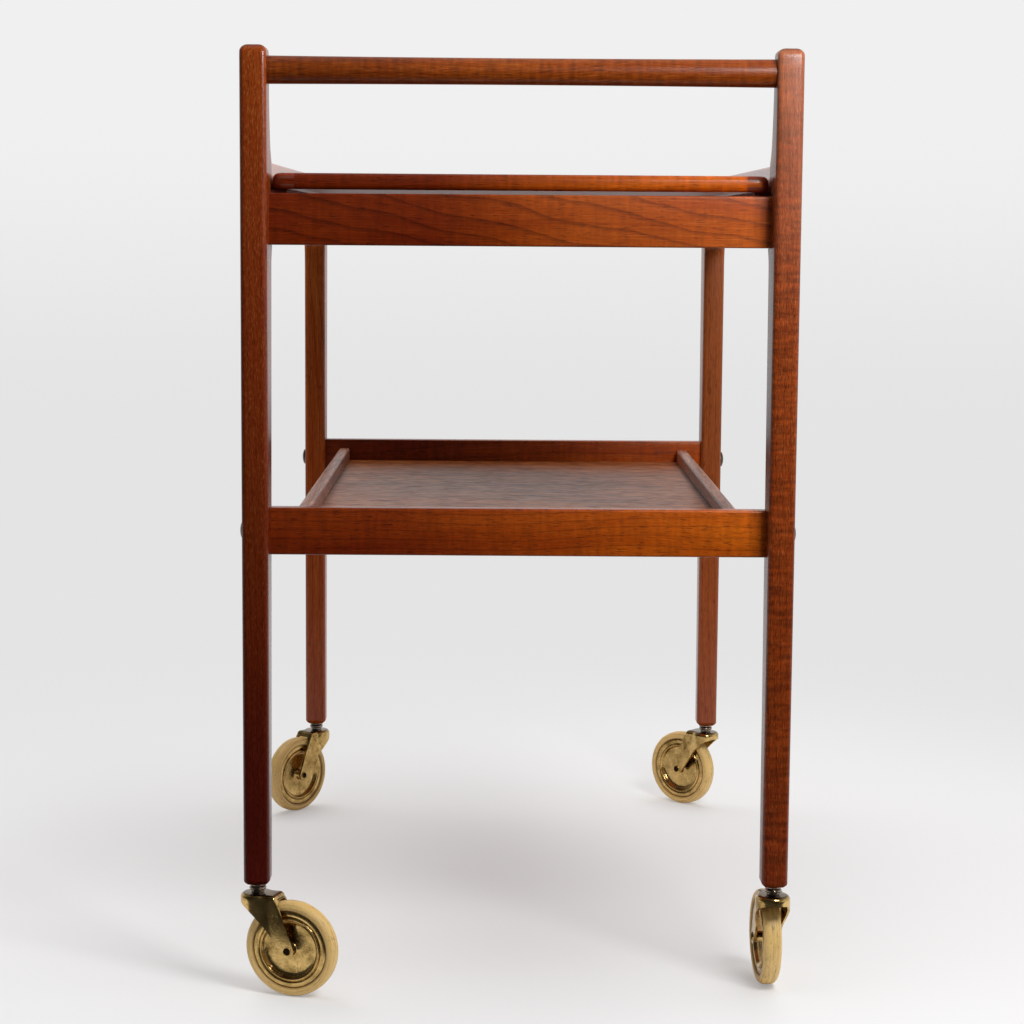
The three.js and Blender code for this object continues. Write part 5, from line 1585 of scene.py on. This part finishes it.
        # The backdrop brightens from the horizon up.
        height = add(tree, "ShaderNodeMapRange", {
            "Value": way.outputs["Z"], "From Min": -0.08, "From Max": 0.05},
            interpolation_type="SMOOTHSTEP")
        backdrop = add(tree, "ShaderNodeMix", {
            0: height.outputs[0], 6: rgba(colours.backdrop_low), 7: rgba(colours.backdrop_high)},
            data_type="RGBA")
        # The room lies before the cart and to its left.
        behind = add(tree, "ShaderNodeVectorMath", {
            0: place.outputs["Generated"], 1: (0.5, 0.87, 0.0)}, operation="DOT_PRODUCT")
        room = add(tree, "ShaderNodeMapRange", {
            "Value": behind.outputs["Value"], "From Min": -0.65, "From Max": 0.30,
            "To Min": studio.room_level, "To Max": studio.mirror_level},
            interpolation_type="SMOOTHSTEP")
        overhead = add(tree, "ShaderNodeMapRange", {
            "Value": way.outputs["Z"], "From Min": 0.30, "From Max": 0.80, "To Min": 1.0,
            "To Max": 0.35}, interpolation_type="SMOOTHSTEP")
        shown = add(tree, "ShaderNodeMath", {0: room.outputs[0], 1: overhead.outputs[0]},
                    operation="MULTIPLY")
        clear = add(tree, "ShaderNodeMath", {
            0: path.outputs["Is Glossy Ray"], 1: path.outputs["Is Transmission Ray"]},
            operation="MAXIMUM")
        diffuse = add(tree, "ShaderNodeMapRange", {
            "Value": behind.outputs["Value"], "From Min": -0.75, "From Max": 0.25,
            "To Min": studio.world_level * studio.room_share, "To Max": studio.world_level},
            interpolation_type="SMOOTHSTEP")
        gloss = add(tree, "ShaderNodeMix", {
            0: clear.outputs[0], 2: diffuse.outputs[0], 3: shown.outputs[0]}, data_type="FLOAT")
        strength = add(tree, "ShaderNodeMix", {
            0: path.outputs["Is Camera Ray"], 2: gloss.outputs[0], 3: 1.0}, data_type="FLOAT")
        light = add(tree, "ShaderNodeBackground", {
            "Color": backdrop.outputs[2], "Strength": strength.outputs[0]})
        add(tree, "ShaderNodeOutputWorld", {"Surface": light.outputs[0]})
        scene.world = world


# ------------------------------------------------------------------ panel and registration


class CART_PT_pieces(bpy.types.Panel):
    """Lists the steps that build the cart"""

    bl_idname = "CART_PT_pieces"
    bl_label = "Bar cart"
    bl_space_type = "VIEW_3D"
    bl_region_type = "UI"
    bl_category = "Bar cart"

    def draw(self, context):
        for step in STEPS:
            self.layout.operator(step.bl_idname)
        for group in (context.scene.cart_sizes, context.scene.cart_finishes,
                      context.scene.cart_studio):
            column = self.layout.column()
            for name in group.__annotations__:
                column.prop(group, name)


STEPS = (
    CART_OT_add_studio,
    CART_OT_add_legs,
    CART_OT_add_top_frame,
    CART_OT_add_handle,
    CART_OT_add_tray,
    CART_OT_add_shelf,
    CART_OT_add_screws,
    CART_OT_add_castors,
    CART_OT_add_wheels,
)
CLASSES = (CartSizes, CartFinishes, StudioSettings, *STEPS, CART_PT_pieces)


def register():
    for item in CLASSES:
        bpy.utils.register_class(item)
    bpy.types.Scene.cart_sizes = PointerProperty(type=CartSizes)
    bpy.types.Scene.cart_finishes = PointerProperty(type=CartFinishes)
    bpy.types.Scene.cart_studio = PointerProperty(type=StudioSettings)


def unregister():
    del bpy.types.Scene.cart_studio
    del bpy.types.Scene.cart_finishes
    del bpy.types.Scene.cart_sizes
    for item in reversed(CLASSES):
        bpy.utils.unregister_class(item)


def main():
    register()
    for step in STEPS:
        group, name = step.bl_idname.split(".")
        getattr(getattr(bpy.ops, group), name)()


if __name__ == "__main__":
    main()
